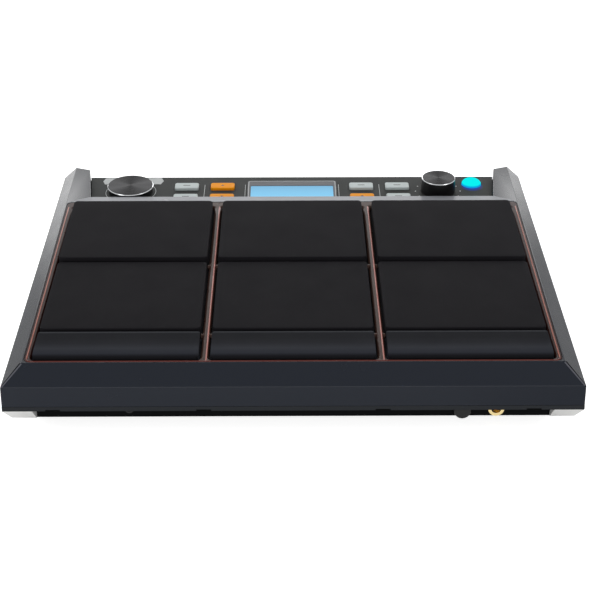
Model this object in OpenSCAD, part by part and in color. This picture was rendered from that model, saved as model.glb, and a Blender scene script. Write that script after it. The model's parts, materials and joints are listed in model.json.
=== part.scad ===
// Electronic percussion pad: nine rubber pads in a tilted deck with a light frame,
// a sunken control panel behind them and a jack bay under the front edge.
// X runs to the player's right, Y away from the player and Z up.
// The origin is the middle of the footprint, on the table.

/* [Case] */
// Width of the case across its front edge
body_w = 370; // [333:1:420]
// Depth of the case from the front lip to the rear wall
body_d = 298; // [268:1:340]
// How far each side closes in from front to back
toe_in = 1; // [0:0.5:4]
// Tilt of the playing deck towards the player, in degrees
tilt = 7; // [5:0.5:9]
// Height of the case rim's lower edge over the base
rim_h = 12; // [11.5:0.5:16]
// Height of the rim, up to the seam between the two case halves
rim_t = 3; // [2.5:0.5:5]
// Height of the upright front facet
front_h = 14; // [10:1:30]
// Forward run of the sloped front facet
brow_run = 10.8; // [8:0.1:16]
// Rise of the sloped front facet
brow_rise = 12; // [10:1:18]
// Width of the side bevels at the front corners
bevel_w = 12.5; // [10:0.5:13]
// How far each side edge of the deck spreads outwards from front to back
deck_spread = 1.6; // [0:0.1:3]
// How far the side bevels end below the front break
bevel_lap = 0.3; // [0.2:0.1:1]
// Wall thickness
wall = 3; // [2:0.25:4]
// Floor thickness
floor_t = 2; // [1.5:0.25:2.5]
// Thickness of the deck round the pad field
deck_t = 6; // [5:0.5:7]
// How far the lower case narrows on each side towards its base
skirt_taper = 3; // [1:0.5:6]
// How far the skirts' front undersides slope back
skirt_run = 14; // [10:1:18]
// Width of the side skirts, under the case rim
skirt_w = 19; // [16:1:30]

/* [Pads] */
// Depth of the front strip pads
strip_d = 30; // [24:0.5:32]
// Gap between two rows of pads
row_gap = 2.5; // [1.5:0.25:2.75]
// Height of the back pads over the deck
back_top = 5.5; // [4:0.25:7]
// Height of the middle pads over the deck
mid_top = 3.5; // [2.5:0.25:5]
// Height of the strip pads over the deck
strip_top = 3.2; // [2.5:0.1:4.5]
// Corner radius of the pads
pad_r = 3; // [1.5:0.5:5]
// Rounded edge of the pads' top faces
pad_edge = 1; // [0.5:0.25:1.75]
// Drop of a strip pad's rounded nose below its top
nose_drop = 2.6; // [1.5:0.1:4]
// Depth of a strip pad's rounded nose
nose_run = 9; // [6:0.5:14]
// How far the pads' side flanges reach out under the light frame
flange_w = 2.5; // [1.9:0.1:2.7]
// Thickness of the pads' side flanges
flange_t = 1.2; // [0.8:0.1:2]
// Thickness of the steel plate under a large pad
plate_t = 1.6; // [1:0.2:2.4]
// How far the plates stay inside the pads' outline
plate_inset = 2; // [1:0.5:4]
// Height of the foam dampers
damper_h = 6.2; // [5:0.2:9]
// Side of the square foam dampers
damper_w = 14; // [10:1:18]
// Distance from a plate's edge to the middle of its dampers
damper_inset = 12; // [10:1:20]
// Radius of the piezo discs
piezo_r = 11; // [8:0.5:11.5]
// Thickness of the piezo discs
piezo_t = 0.6; // [0.4:0.1:1]
// Radius of the foam puck on each piezo disc
puck_r = 8; // [6:0.5:10]

/* [Light frame] */
// Thickness of the light frame
frame_t = 3; // [2:0.25:3.5]
// Gap between pads and light frame
pad_gap = 1.2; // [0.8:0.1:1.4]
// Width of the frame's bars between the pad columns
divider_w = 5.4; // [5:0.1:6]
// Width of the frame's side bars
side_bar = 4.35; // [3:0.05:6]
// Width of the frame's front bar
front_bar = 1.2; // [1:0.1:2]
// Width of the frame's back bar
back_bar = 7; // [5:0.5:7.5]
// Gap between the front bar and the strip pads
strip_gap = 0.8; // [0.5:0.1:1.2]
// Corner radius of the frame's windows
window_r = 4; // [2:0.5:6]
// Width of the case edge round the frame
edge_w = 0.8; // [0.5:0.1:1.2]
// Clearance between frame and case
frame_clear = 0.1; // [0.05:0.05:0.3]
// Clearance between the pads' flanges and what stands beside them
flange_clear = 0.3; // [0.2:0.05:0.4]
// Width of the light strips and of the ribs that carry them
led_w = 2; // [1.4:0.1:2.2]
// Thickness of the light strips
led_t = 1.2; // [0.8:0.1:1.6]

/* [Sub-deck] */
// Thickness of the sub-deck
subdeck_t = 2.4; // [1.6:0.2:3]
// Distance from the pad field's ends to the end deck screws
deck_screw_inset = 18; // [12:1:30]
// Radius of the deck bosses
deck_boss_r = 3.5; // [3:0.25:4]
// Distance from the light frame's edge to the deck screws
deck_screw_out = 2; // [1:0.25:2.5]
// Shaft radius of all screws
screw_r = 1.5; // [1.25:0.25:1.75]
// Head radius of all screws
screw_head_r = 2.8; // [2.5:0.1:3.4]
// Head height of all screws
screw_head_h = 1.8; // [1.2:0.1:2]
// Radial clearance of screws in their holes
screw_clear = 0.05; // [0.02:0.01:0.1]
// Bite of the deck screws in the deck
deck_screw_bite = 1.5; // [1:0.25:2]

/* [Ridge and panel] */
// Depth of the sloped ridge behind the pads
ridge_d = 15; // [10:0.5:16]
// Drop of the ridge at its back edge
ridge_drop = 3.2; // [1.5:0.1:4]
// Width of the cheeks' inner slopes at the ridge
cheek_w = 15.4; // [10:0.1:18]
// Width of the cheeks' inner slopes at the rear wall
cheek_back_w = 9.3; // [6:0.1:14]
// How far the cheeks' mitres end inside the pocket's corners
mitre_lap = 0.4; // [0.2:0.1:1]
// Depth of the pocket behind the ridge, along the deck
pocket_d = 47.15; // [46:0.05:56]
// Depth of the control panel's face below the deck
panel_drop = 8.4; // [7:0.2:11]
// Thickness of the control panel
panel_t = 2.5; // [2:0.25:3.5]
// Gap round the control panel
panel_gap = 0.4; // [0.2:0.05:0.6]
// Width of the ledge that carries the control panel's ends
ledge_w = 4; // [2:0.5:5]
// Width of the ledge under the control panel's front edge
front_ledge_w = 0.6; // [0.4:0.1:0.7]
// Thickness of that ledge
ledge_t = 3; // [2:0.5:4]

/* [Controls] */
// Distance from the ridge to the middle of the front button row
button_row_y = 7.2; // [7:0.1:9]
// Pitch of the two button rows
button_row_pitch = 19.6; // [15:0.2:22]
// How far the button columns lie outside an even spread between display and volume knob
button_shift = 0.7; // [0:0.1:1]
// Width of a button
button_w = 19; // [15:0.5:20]
// Depth of a button
button_d = 10; // [8:0.5:11]
// Height of a button over the panel
button_h = 2; // [1.4:0.1:3]
// Corner radius of a button
button_r = 1.5; // [0.75:0.25:2.5]
// Rounded edge of a button
button_edge = 0.5; // [0.25:0.05:0.7]
// Clearance of buttons in the panel
button_clear = 0.25; // [0.15:0.05:0.4]
// How far a button's retaining flange reaches out
button_flange = 1.2; // [0.8:0.1:1.6]
// Thickness of that flange
button_flange_t = 1.2; // [0.8:0.1:1.6]
// Width of a button's stem
stem_w = 3.2; // [2.4:0.2:4]
// Travel left between a stem and its switch
switch_gap = 0.65; // [0.6:0.05:0.9]
// Side of a tact switch
switch_w = 6; // [5:0.5:7]
// Height of a tact switch's body
switch_h = 3.5; // [2.5:0.25:4]
// Height of a tact switch's plunger over its body
plunger_h = 0.6; // [0.4:0.1:1]
// Radius of a tact switch's plunger
plunger_r = 1.75; // [1.2:0.05:2.2]
// Distance of the round lit button from the pocket's right end
power_in = 13.1; // [13:0.1:18]
// Distance from the ridge to the round lit button
power_y = 32.3; // [30:0.1:34]
// Radius of the round lit button
power_r = 7.8; // [6:0.2:8.4]
// Height of the round lit button's dome
power_h = 4.6; // [1.5:0.1:5.5]
// Distance of the data dial's axis from the pocket's left end
dial_in = 29.1; // [26:0.1:34]
// Distance from the ridge to the data dial's axis
dial_y = 19.2; // [19:0.1:24]
// Radius of the data dial
dial_r = 18.1; // [15:0.1:18.3]
// Height of the data dial over the panel
dial_h = 6.2; // [5:0.1:9]
// Distance of the volume knob's axis from the pocket's right end
volume_in = 41.1; // [39:0.1:46]
// Distance from the ridge to the volume knob's axis
volume_y = 19.2; // [16:0.1:22]
// Radius of the volume knob's top
volume_r = 13.1; // [10:0.1:13.4]
// How much wider the volume knob is at its foot
volume_flare = 0.5; // [0:0.1:1]
// Height of the volume knob over the panel
volume_h = 12.1; // [8:0.1:16]
// Thickness of the knobs' metal caps
cap_t = 1.6; // [1:0.1:2.2]
// Chamfer of the knobs' metal caps
cap_chamfer = 0.7; // [0.3:0.05:0.9]
// Gap between a knob's foot and the panel
knob_gap = 0.5; // [0.3:0.1:0.8]
// Shaft radius of encoder and potentiometers
shaft_r = 3; // [2.5:0.25:3.5]
// Running clearance of the shafts in their bushes
shaft_clear = 0.05; // [0.02:0.01:0.1]
// Wall of the bushes round the shafts
bush_wall = 1; // [0.75:0.25:1.5]
// Side of the encoder's and the potentiometer's bodies
pot_w = 13; // [11:0.5:16]
// Height of the encoder's and the potentiometer's bodies
pot_h = 6; // [4:0.5:6.5]

/* [Display] */
// Width of the display window
lcd_w = 65.7; // [50:0.1:66]
// Depth of the display window
lcd_d = 24.2; // [18:0.2:27]
// Distance from the ridge to the display window's front edge
lcd_y = 4; // [3.5:0.1:6]
// Bezel width at the window's sides
bezel_side = 2.6; // [1.5:0.1:3]
// Bezel width in front of the window
bezel_front = 2; // [1.5:0.1:2.5]
// Bezel width behind the window
bezel_back = 9.2; // [4:0.2:11]
// Corner radius of the display window
lcd_r = 1; // [0.5:0.25:2]
// Corner radius of the bezel
bezel_r = 1.5; // [0.5:0.25:3]
// Clearance of the window in its bezel
window_clear = 0.05; // [0.02:0.01:0.1]
// Height of the bezel over the panel
bezel_h = 0.8; // [0.4:0.1:1.5]
// How far the window's face lies under the bezel's
window_sink = 0.2; // [0.1:0.05:0.3]
// Thickness of the display module
lcd_module_t = 6; // [4:0.5:7]
// How far the display module reaches past its window
lcd_module_rim = 4; // [2:0.5:4.5]

/* [Boards] */
// Depth of the panel board below the control panel
board_drop = 9.1; // [8.8:0.1:11]
// Thickness of the circuit boards
board_t = 1.6; // [1:0.2:2]
// Gap between the panel board's ends and the pocket's ends
panel_board_gap = 7.1; // [7:0.1:10]
// Radius of the posts under the panel
post_r = 2.5; // [2:0.25:3]
// Width of the main board
main_board_w = 200; // [150:5:205]
// Depth of the main board
main_board_d = 90; // [70:5:100]
// Distance from the rear wall to the main board
main_board_back = 11; // [8:0.5:20]
// Height of the main board's standoffs
standoff_h = 12.5; // [12:0.5:16]
// Side of the processor
chip_w = 22; // [16:1:26]
// Height of the processor and the converters
chip_h = 1.6; // [1:0.1:2]
// Side of the two converters
converter_w = 13; // [9:1:16]
// Width of the shield can
can_w = 30; // [22:1:34]
// Depth of the shield can
can_d = 34; // [26:1:40]
// Height of the shield can
can_h = 5; // [3:0.5:6]
// Sideways pitch of the processor, the converters and the can
chip_pitch = 45; // [40:1:50]

/* [Front bay] */
// Depth of the jack bay under the front edge
bay_d = 15; // [12:0.5:18]
// Distance of the inner notches in the rim's lower edge from the middle
notch_inner = 57; // [40:1:70]
// Distance of the outer notches from the bay's ends
notch_end = 13; // [8:0.5:20]
// Width of the rim's notches
notch_w = 9.6; // [6:0.2:12]
// Height of the rim's notches
notch_h = 1; // [0.5:0.1:1.5]
// Depth of the rim's notches
notch_d = 2; // [1:0.25:3]
// Height of the front sockets' axes over the base
bay_jack_h = 6; // [5.9:0.1:6.3]
// Distance of the headphone socket from the bay's right end
phones_in = 35; // [20:0.5:40]
// Distance from the headphone socket to its volume knob
phones_pitch = 22.2; // [18:0.2:30]
// Radius of the headphone volume knob
phones_knob_r = 5.4; // [4:0.1:5.6]
// How far the headphone volume knob stands out of the bay wall
phones_knob_out = 6; // [4:0.5:8]
// Shaft radius of the headphone volume knob
phones_shaft_r = 2; // [1.5:0.25:2.5]
// Distance of the aux socket from the bay's left end
aux_in = 60; // [30:1:70]
// Bore radius of a 6.35 mm socket
jack_r = 3.25; // [3.2:0.01:3.3]
// Depth of a 6.35 mm socket
jack_len = 24; // [20:1:30]
// Bush radius of a 6.35 mm socket
jack_bush_r = 5.2; // [4.8:0.1:5.6]
// Half width of a 6.35 mm socket's body
jack_half = 7; // [6:0.25:8]
// How far a 6.35 mm socket's nut reaches past its bush
nut_w = 2.2; // [1.5:0.1:3]
// How far the sockets' bushes stand out
jack_out = 2; // [1:0.25:2.25]
// Bore radius of a 3.5 mm socket
aux_r = 1.8; // [1.75:0.01:1.9]
// Depth of a 3.5 mm socket
aux_len = 14; // [12:1:16]
// Bush radius of a 3.5 mm socket
aux_bush_r = 3; // [2.6:0.1:3.6]
// Half width of the bodies of the 3.5 mm socket and the headphone volume
aux_half = 5; // [4:0.25:6]
// Clearance of the bushes in their holes
bush_clear = 0.1; // [0.05:0.05:0.2]

/* [Rear] */
// Width of the rear jack plate
rear_plate_w = 300; // [290:2:310]
// Height of the rear jack plate
rear_plate_h = 30; // [28:1:32]
// Thickness of the rear jack plate
rear_plate_t = 2; // [1:0.25:3]
// Overlap of the plate behind its opening
rear_overlap = 4; // [2:0.5:5]
// Height of the plate's middle over the seam
rear_jack_h = 20; // [18:1:24]
// Pitch of the sockets in each pair
rear_pitch = 28; // [24:1:32]
// Distance of the line outputs' middle from the plate's end
line_out_in = 54; // [40:1:70]
// Position of the trigger inputs
trigger_in_x = -24; // [-34:1:-10]
// Position of the USB socket
usb_x = 50; // [40:1:70]
// Distance of the power inlet from the plate's other end
dc_in = 46; // [30:1:60]
// Depth of the USB socket and of the power inlet behind the plate
port_len = 16; // [12:0.5:20]
// Depth of their openings
port_bore = 12; // [9:0.5:14]
// Width of the USB socket's opening
usb_w = 8.6; // [8:0.1:9]
// Height of the USB socket's opening
usb_h = 7.8; // [7:0.1:9]
// Wall of the USB socket's shield
usb_wall = 1; // [0.5:0.1:1.5]
// Wall of the power inlet
dc_wall = 2; // [1:0.25:3]
// Radius of the power inlet's opening
dc_r = 2.9; // [2.6:0.1:3.2]
// Radius of the power inlet's pin
dc_pin_r = 1.05; // [0.6:0.05:1.3]

/* [Base] */
// Height of the feet
foot_h = 5; // [3:0.5:8]
// Radius of the feet
foot_r = 9; // [7:0.5:12]
// Distance of the feet from the side skirts
foot_in = 18; // [10:1:40]
// Distance of the feet from the case's front and back
foot_end = 37; // [33:1:60]
// Sideways pitch of the stand inserts
stand_x = 100; // [75:1:120]
// Front to back pitch of the stand inserts
stand_y = 60; // [50:1:75]
// Hole radius of the stand inserts
insert_r = 2.1; // [2:0.05:2.3]
// Outer radius of the stand inserts
insert_out_r = 3.5; // [3.2:0.1:4]
// Length of the stand inserts
insert_len = 10; // [8:0.5:12]
// Distance of the case screws from the side walls' outer faces
case_screw_in = 8; // [7:0.25:9]
// Distance of the end case screws from the case's front and back
case_screw_end = 37; // [31:1:50]
// Radius of the case screws' bosses
case_boss_r = 5.2; // [4.8:0.1:6]
// Height of the upper bosses over the seam
case_boss_h = 11; // [8:0.5:12]
// Distance of the deck pillars from the middle, sideways
pillar_x = 118; // [116:1:125]
// Distance of the deck pillars from the middle, front to back
pillar_y = 72; // [60:1:80]
// Radius of the deck pillars
pillar_r = 5; // [4:0.5:7]

/* [Hidden] */
$fn = 48;
// Heights over the table
base_z = foot_h;
rim_z = base_z + rim_h;
seam_z = rim_z + rim_t;
lip_z = seam_z + front_h;
peak_z = lip_z + brow_rise;
// The deck's own frame starts at the front peak line and follows the tilt
front_y = -body_d / 2;
back_y = body_d / 2;
peak_y = front_y + brow_run;
deck_len = (body_d - brow_run) / cos(tilt);
back_z = peak_z + (body_d - brow_run) * tan(tilt);
peak_half = body_w / 2 - bevel_w;
bevel_drop = brow_rise * cos(tilt) - brow_run * sin(tilt) + bevel_lap;
bevel_k = bevel_drop / bevel_w;
spread_k = deck_spread / deck_len;
// Lengths that only have to reach past the case
past = 20;
far = 2 * body_d;
// The pocket keeps its depth, and the pad field takes the rest of the deck
pocket_y = deck_len - pocket_d;
field_len = pocket_y - ridge_d;
// The large pads fill the frame's windows
frame_half = peak_half - edge_w - frame_clear;
window_w = (2 * (frame_half - side_bar) - 2 * divider_w) / 3;
col_pitch = window_w + divider_w;
pad_w = window_w - 2 * pad_gap;
field_half = col_pitch + pad_w / 2;
frame_y0 = edge_w + frame_clear;
frame_y1 = field_len - frame_clear - edge_w;
window_y0 = frame_y0 + front_bar;
window_y1 = frame_y1 - back_bar;
strip_y0 = window_y0 + strip_gap;
mid_y0 = strip_y0 + strip_d + row_gap;
pad_d = (window_y1 - pad_gap - row_gap - mid_y0) / 2;
back_y0 = mid_y0 + pad_d + row_gap;
// Pad stack, along the deck's normal
flange_z = -frame_t - flange_t;
plate_z = flange_z - plate_t;
// Middle point of a rounded edge
edge_in = 0.3 * pad_edge;
subdeck_z = plate_z - damper_h;
subdeck_low = subdeck_z - subdeck_t;
subdeck_in = 2;
deck_screw_x = frame_half + deck_screw_out;
deck_screw_ys = [deck_screw_inset, field_len / 2, field_len - deck_screw_inset];
subdeck_half = deck_screw_x + deck_boss_r;
// Pocket and panel
panel_z = -panel_drop;
seat_z = panel_z - panel_t;
pocket_half = peak_half - cheek_w;
pocket_back_half = peak_half - cheek_back_w;
cheek_k = ridge_drop / (cheek_w + mitre_lap + spread_k * pocket_y);
board_z = seat_z - board_drop;
dial_at = [dial_in - pocket_half, pocket_y + dial_y];
volume_at = [pocket_half - volume_in, pocket_y + volume_y];
power_at = [pocket_half - power_in, pocket_y + power_y];
board_clear = 1;
bezel_half = lcd_w / 2 + bezel_side;
col_gap = (volume_at[0] - volume_r - volume_flare - bezel_half - 2 * button_w) / 3;
button_inner_x = bezel_half + col_gap + button_w / 2 + button_shift;
button_outer_x = button_inner_x + button_w + col_gap;
button_rows = [pocket_y + button_row_y, pocket_y + button_row_y + button_row_pitch];
button_cols = [-button_outer_x, -button_inner_x, button_inner_x, button_outer_x];
panel_board_half = pocket_half - panel_board_gap;
lcd_at = [0, pocket_y + lcd_y + lcd_d / 2];
bezel_d = bezel_front + lcd_d + bezel_back;
bezel_at = [0, pocket_y + lcd_y - bezel_front + bezel_d / 2];
panel_board_y0 = pocket_y + ledge_w + board_clear;
panel_board_d = button_row_pitch + button_row_y + button_d / 2;
bush_r = shaft_r + shaft_clear + bush_wall;
// Front bay and rear plate
bay_half = body_w / 2 - skirt_w;
bay_y = front_y + bay_d;
notch_x = bay_half - notch_end;
phones_x = bay_half - phones_in;
phones_knob_x = phones_x - phones_pitch;
aux_x = bay_half - aux_in;
foot_x = bay_half - foot_in;
foot_y = body_d / 2 - foot_end;
bay_jack_z = base_z + bay_jack_h;
bay_below = bay_jack_h - floor_t;
rear_z = seam_z + rear_jack_h;
rear_plate_y = back_y - wall - rear_plate_t;
line_out_x = line_out_in - rear_plate_w / 2;
dc_x = rear_plate_w / 2 - dc_in;
case_screw_y = body_d / 2 - case_screw_end;
case_screw_ys = [-case_screw_y, 0, case_screw_y];
main_board_at = [0, back_y - wall - main_board_back - main_board_d / 2];
standoff_in = 6;
boss_roof = 1;
screw_tip_gap = 0.5;
post_y = (button_rows[0] + button_rows[1]) / 2;
post_xs = [(button_inner_x + button_outer_x) / 2, panel_board_half - post_r];
stem_z = board_z + switch_h + plunger_h + switch_gap;
shaft_lift = 0.2;
pot_floor = 1;
shaft_foot = board_z + pot_floor;
bore_roof = 1.2;
dial_cap_z = panel_z + dial_h - cap_t;
volume_cap_z = panel_z + volume_h - cap_t;
dc_half = dc_r + dc_wall;
port_clear = 0.1;
port_out = 1;
socket_end = 2;
nut_sink = 0.4;
// How far joined shapes reach into each other
lap = 1;

COLS = ["left", "center", "right"];
ROWS = ["back", "mid"];

// Outlines
function half_w(y) = body_w / 2 - toe_in * (y - front_y) / body_d;
function unit(v) = v / norm(v);
function left_of(v) = [-v[1], v[0]];
function mitre(a, p, b, d) =
    let (m = left_of(unit(p - a)), n = left_of(unit(b - p)))
    p + d * (m + n) / (1 + m * n);
// A convex outline, listed anticlockwise, moved inwards by d
function inset(pts, d) =
    let (n = len(pts))
    [for (i = [0:n - 1]) mitre(pts[(i + n - 1) % n], pts[i], pts[(i + 1) % n], d)];
function arc(c, r, a, b, n = 5) =
    [for (i = [0:n]) c + r * [cos(a + (b - a) * i / n), sin(a + (b - a) * i / n)]];
function rounded(w, d, r) = concat(
    arc([w / 2 - r, d / 2 - r], r, 0, 90),
    arc([r - w / 2, d / 2 - r], r, 90, 180),
    arc([r - w / 2, r - d / 2], r, 180, 270),
    arc([w / 2 - r, r - d / 2], r, 270, 360)
);
plan = [[-half_w(front_y), front_y], [half_w(front_y), front_y],
    [half_w(back_y), back_y], [-half_w(back_y), back_y]];
function upper_profile(low) =
    [[front_y, low], [back_y, low], [back_y, back_z], [peak_y, peak_z], [front_y, lip_z]];
// Sections across the deck, to one side: flat up to the peak line and bevelled outside it
function on_side(s, pts) = s > 0 ? pts : [for (i = [len(pts) - 1:-1:0]) [-pts[i][0], pts[i][1]]];
function roof(top, sink) =
    let (x = peak_half - (top + sink) / bevel_k, out = body_w / 2 + past)
    let (low = -bevel_k * (out - peak_half) - sink)
    [[-far, -far], [out, -far], [out, low], [x, top], [-far, top]];
// What lies over a cheek's inner slope
function over_cheek() =
    [[-far, -cheek_k * (peak_half + far)], [peak_half, 0], [peak_half, past], [-far, past]];
// Outline that widens to the back as the deck does
function flared(half, y0, y1, r) =
    let (front = half + spread_k * y0 - r, back = half + spread_k * y1 - r)
    concat(arc([back, y1 - r], r, 0, 90), arc([-back, y1 - r], r, 90, 180),
        arc([-front, y0 + r], r, 180, 270), arc([front, y0 + r], r, 270, 360));
function lower_section(d, low, top) =
    let (x = body_w / 2 - d)
    [[skirt_taper - x, low], [x - skirt_taper, low], [x, rim_z], [x, top], [-x, top], [-x, rim_z]];
function lower_profile(d, low, top) =
    [[front_y + skirt_run + d, low], [back_y - skirt_taper - d, low], [back_y - d, rim_z],
    [back_y - d, top], [front_y + d, top], [front_y + d, rim_z]];
function pocket_plan(gap, front) =
    let (y0 = pocket_y + front, y1 = deck_len + past)
    let (k = (pocket_back_half - pocket_half) / (deck_len - pocket_y))
    let (x0 = pocket_half - gap, x1 = pocket_half + k * (y1 - pocket_y) - gap)
    [[-x0, y0], [x0, y0], [x1, y1], [-x1, y1]];

// Placing
module on_deck() translate([0, peak_y, peak_z]) rotate([tilt, 0, 0]) children();
module along_x(pts) rotate([90, 0, 90]) linear_extrude(far, center = true) polygon(pts);
module along_y(pts) rotate([90, 0, 0]) linear_extrude(far, center = true) polygon(pts);
// A section laid along one of the deck's side edges, which turn outwards about its front corners
module along_edge(s, pts) translate([s * peak_half, 0, 0]) rotate([0, 0, -s * atan(spread_k)])
    translate([-s * peak_half, 0, 0]) along_y(on_side(s, pts));
module slab(size, r, z0, z1)
    translate([0, 0, z0]) linear_extrude(z1 - z0) polygon(rounded(size[0], size[1], r));
module bar(x0, x1, y0, y1, z0, z1) translate([x0, y0, z0]) cube([x1 - x0, y1 - y0, z1 - z0]);
module block(w, d, h) bar(-w / 2, w / 2, -d / 2, d / 2, 0, h);
module at(p, z = 0) translate([p[0], p[1], z]) children();
module face_front() rotate([90, 0, 0]) children();
module face_back() rotate([-90, 0, 0]) children();
module at_case_screws() for (y = case_screw_ys) for (s = [-1, 1])
    translate([s * (half_w(y) - case_screw_in), y, 0]) children();
module at_deck_screws() on_deck() for (y = deck_screw_ys) for (s = [-1, 1])
    translate([s * deck_screw_x, y, 0]) children();
module at_grid(x, y) for (i = [-1, 1]) for (j = [-1, 1]) translate([i * x, j * y, 0]) children();
module at_buttons() for (y = button_rows) for (x = button_cols) translate([x, y, 0]) children();

// Upper case
module upper_outer() intersection() {
    linear_extrude(far) polygon(plan);
    along_x(upper_profile(seam_z));
    on_deck() along_edge(1, roof(0, 0));
    on_deck() along_edge(-1, roof(0, 0));
}
module upper_cavity() intersection() {
    linear_extrude(far) polygon(inset(plan, wall));
    along_x(inset(upper_profile(seam_z - past), wall));
    on_deck() along_edge(1, roof(-deck_t, wall * norm([1, bevel_k])));
    on_deck() along_edge(-1, roof(-deck_t, wall * norm([1, bevel_k])));
}
// Sloped ridge and cheeks round the pocket
module tray() on_deck() intersection() {
    along_edge(1, over_cheek());
    along_edge(-1, over_cheek());
    along_x([[field_len, 0], [field_len + far, -far * ridge_drop / ridge_d],
        [field_len + far, past], [field_len, past]]);
}
module pocket(gap, front, z0, z1) on_deck()
    translate([0, 0, z0]) linear_extrude(z1 - z0) polygon(pocket_plan(gap, front));
module before(y) intersection() {
    children();
    bar(-body_w, body_w, -far, y, 0, far);
}
module flared_slab(half, y0, y1, z0, z1)
    translate([0, 0, z0]) linear_extrude(z1 - z0) polygon(flared(half, y0, y1, window_r));
module frame_opening() on_deck() {
    flared_slab(peak_half - edge_w, edge_w, field_len - edge_w, -frame_t, past);
    low_half = field_half + flange_w + flange_clear;
    bar(-low_half, low_half, window_y0, window_y1, -deck_t - past, lap - frame_t);
}
module rear_opening() {
    w = rear_plate_w - 2 * rear_overlap;
    h = rear_plate_h - 2 * rear_overlap;
    bar(-w / 2, w / 2, back_y - 2 * wall, back_y + past, rear_z - h / 2, rear_z + h / 2);
}
module top_shell() color([0.16, 0.17, 0.19]) difference() {
    union() {
        difference() {
            upper_outer();
            upper_cavity();
        }
        intersection() {
            upper_outer();
            union() {
                pocket(-wall, -wall, seat_z - ledge_t, lap - deck_t);
                at_case_screws() cylinder(r = case_boss_r, h = seam_z + case_boss_h);
            }
        }
        at_deck_screws() translate([0, 0, subdeck_z]) cylinder(r = deck_boss_r, h = lap - deck_t - subdeck_z);
    }
    tray();
    pocket(0, 0, seat_z, past);
    before(back_y - wall) pocket(ledge_w, front_ledge_w, seat_z - past, past);
    frame_opening();
    rear_opening();
    at_case_screws() cylinder(r = screw_r + screw_clear, h = seam_z + case_boss_h - boss_roof);
    at_deck_screws() translate([0, 0, subdeck_z - past])
        cylinder(r = screw_r + screw_clear, h = past - subdeck_z - deck_t + deck_screw_bite);
}

// Lower case: a tub with a wide rim, between two side skirts
module lower_outer() intersection() {
    linear_extrude(seam_z) polygon(plan);
    along_y(lower_section(0, base_z, seam_z));
    along_x(lower_profile(0, base_z, seam_z));
}
module lower_inner() intersection() {
    linear_extrude(far) polygon(inset(plan, wall));
    along_y(lower_section(wall, base_z + floor_t, seam_z + past));
    along_x(lower_profile(wall, base_z + floor_t, seam_z + past));
}
module lower_cavity() intersection() {
    lower_inner();
    half = bay_half - wall;
    bar(-half, half, bay_y + wall, back_y, 0, seam_z + past);
}
module at_pillars() at_grid(pillar_x, pillar_y) children();
module at_standoffs() at(main_board_at)
    at_grid(main_board_w / 2 - standoff_in, main_board_d / 2 - standoff_in) children();
module at_inserts() at_grid(stand_x / 2, stand_y / 2) translate([0, 0, base_z]) children();
module bottom_shell() color([0.13, 0.14, 0.15]) difference() {
    union() {
        difference() {
            intersection() {
                lower_outer();
                union() {
                    bar(-bay_half, bay_half, front_y, back_y, 0, seam_z);
                    bar(-body_w, body_w, front_y, back_y, rim_z, seam_z);
                }
            }
            lower_cavity();
        }
        at_inserts() cylinder(r = insert_out_r + wall, h = insert_len + wall);
        difference() {
            at_pillars() translate([0, 0, base_z]) cylinder(r = pillar_r, h = back_z);
            on_deck() translate([-far / 2, -far / 2, subdeck_low]) cube(far);
        }
        at_standoffs() translate([0, 0, base_z]) cylinder(r = post_r, h = floor_t + standoff_h);
    }
    bar(-bay_half, bay_half, front_y - past, bay_y, 0, rim_z);
    for (x = [-notch_x, -notch_inner, notch_inner, notch_x])
        bar(x - notch_w / 2, x + notch_w / 2, front_y - past, front_y + notch_d, rim_z - lap, rim_z + notch_h);
    at_case_screws() cylinder(r = screw_r + screw_clear, h = seam_z + past);
    at_inserts() translate([0, 0, -past]) cylinder(r = insert_out_r, h = past + insert_len);
    translate([phones_x, bay_y, bay_jack_z]) face_front() bush_hole(jack_bush_r + bush_clear);
    translate([phones_knob_x, bay_y, bay_jack_z]) face_front()
        bush_hole(phones_shaft_r + shaft_clear + bush_wall + bush_clear);
    translate([-aux_x, bay_y, bay_jack_z]) face_front() bush_hole(aux_bush_r + bush_clear);
}
module skirt_side(s, x0, top) bar(s < 0 ? -body_w : x0, s < 0 ? -x0 : body_w, front_y, back_y, 0, top);
module side_skirts() color([0.8, 0.8, 0.79]) for (s = [-1, 1]) difference() {
    intersection() {
        lower_outer();
        skirt_side(s, bay_half, rim_z);
    }
    difference() {
        intersection() {
            lower_inner();
            skirt_side(s, bay_half + wall, rim_z + past);
        }
        at_case_screws() cylinder(r = case_boss_r, h = rim_z);
    }
    at_case_screws() {
        cylinder(r = screw_r + screw_clear, h = rim_z + past);
        cylinder(r = screw_head_r + screw_clear, h = base_z + floor_t);
    }
}
module bush_hole(r) cylinder(r = r, h = 3 * wall, center = true);
module feet() color([0.08, 0.08, 0.08]) at_grid(foot_x, foot_y) cylinder(r = foot_r, h = foot_h);
module stand_inserts() color([0.78, 0.62, 0.3]) at_inserts() difference() {
    cylinder(r = insert_out_r, h = insert_len);
    translate([0, 0, -lap]) cylinder(r = insert_r, h = insert_len + 2 * lap);
}
module screw(len) {
    translate([0, 0, -screw_head_h]) cylinder(r = screw_head_r, h = screw_head_h);
    translate([0, 0, -screw_head_h / 2]) cylinder(r = screw_r, h = len + screw_head_h / 2);
}
module case_screws() color([0.3, 0.3, 0.32])
    at_case_screws() translate([0, 0, base_z + floor_t])
        screw(rim_h + rim_t + case_boss_h - floor_t - boss_roof - screw_tip_gap);

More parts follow.
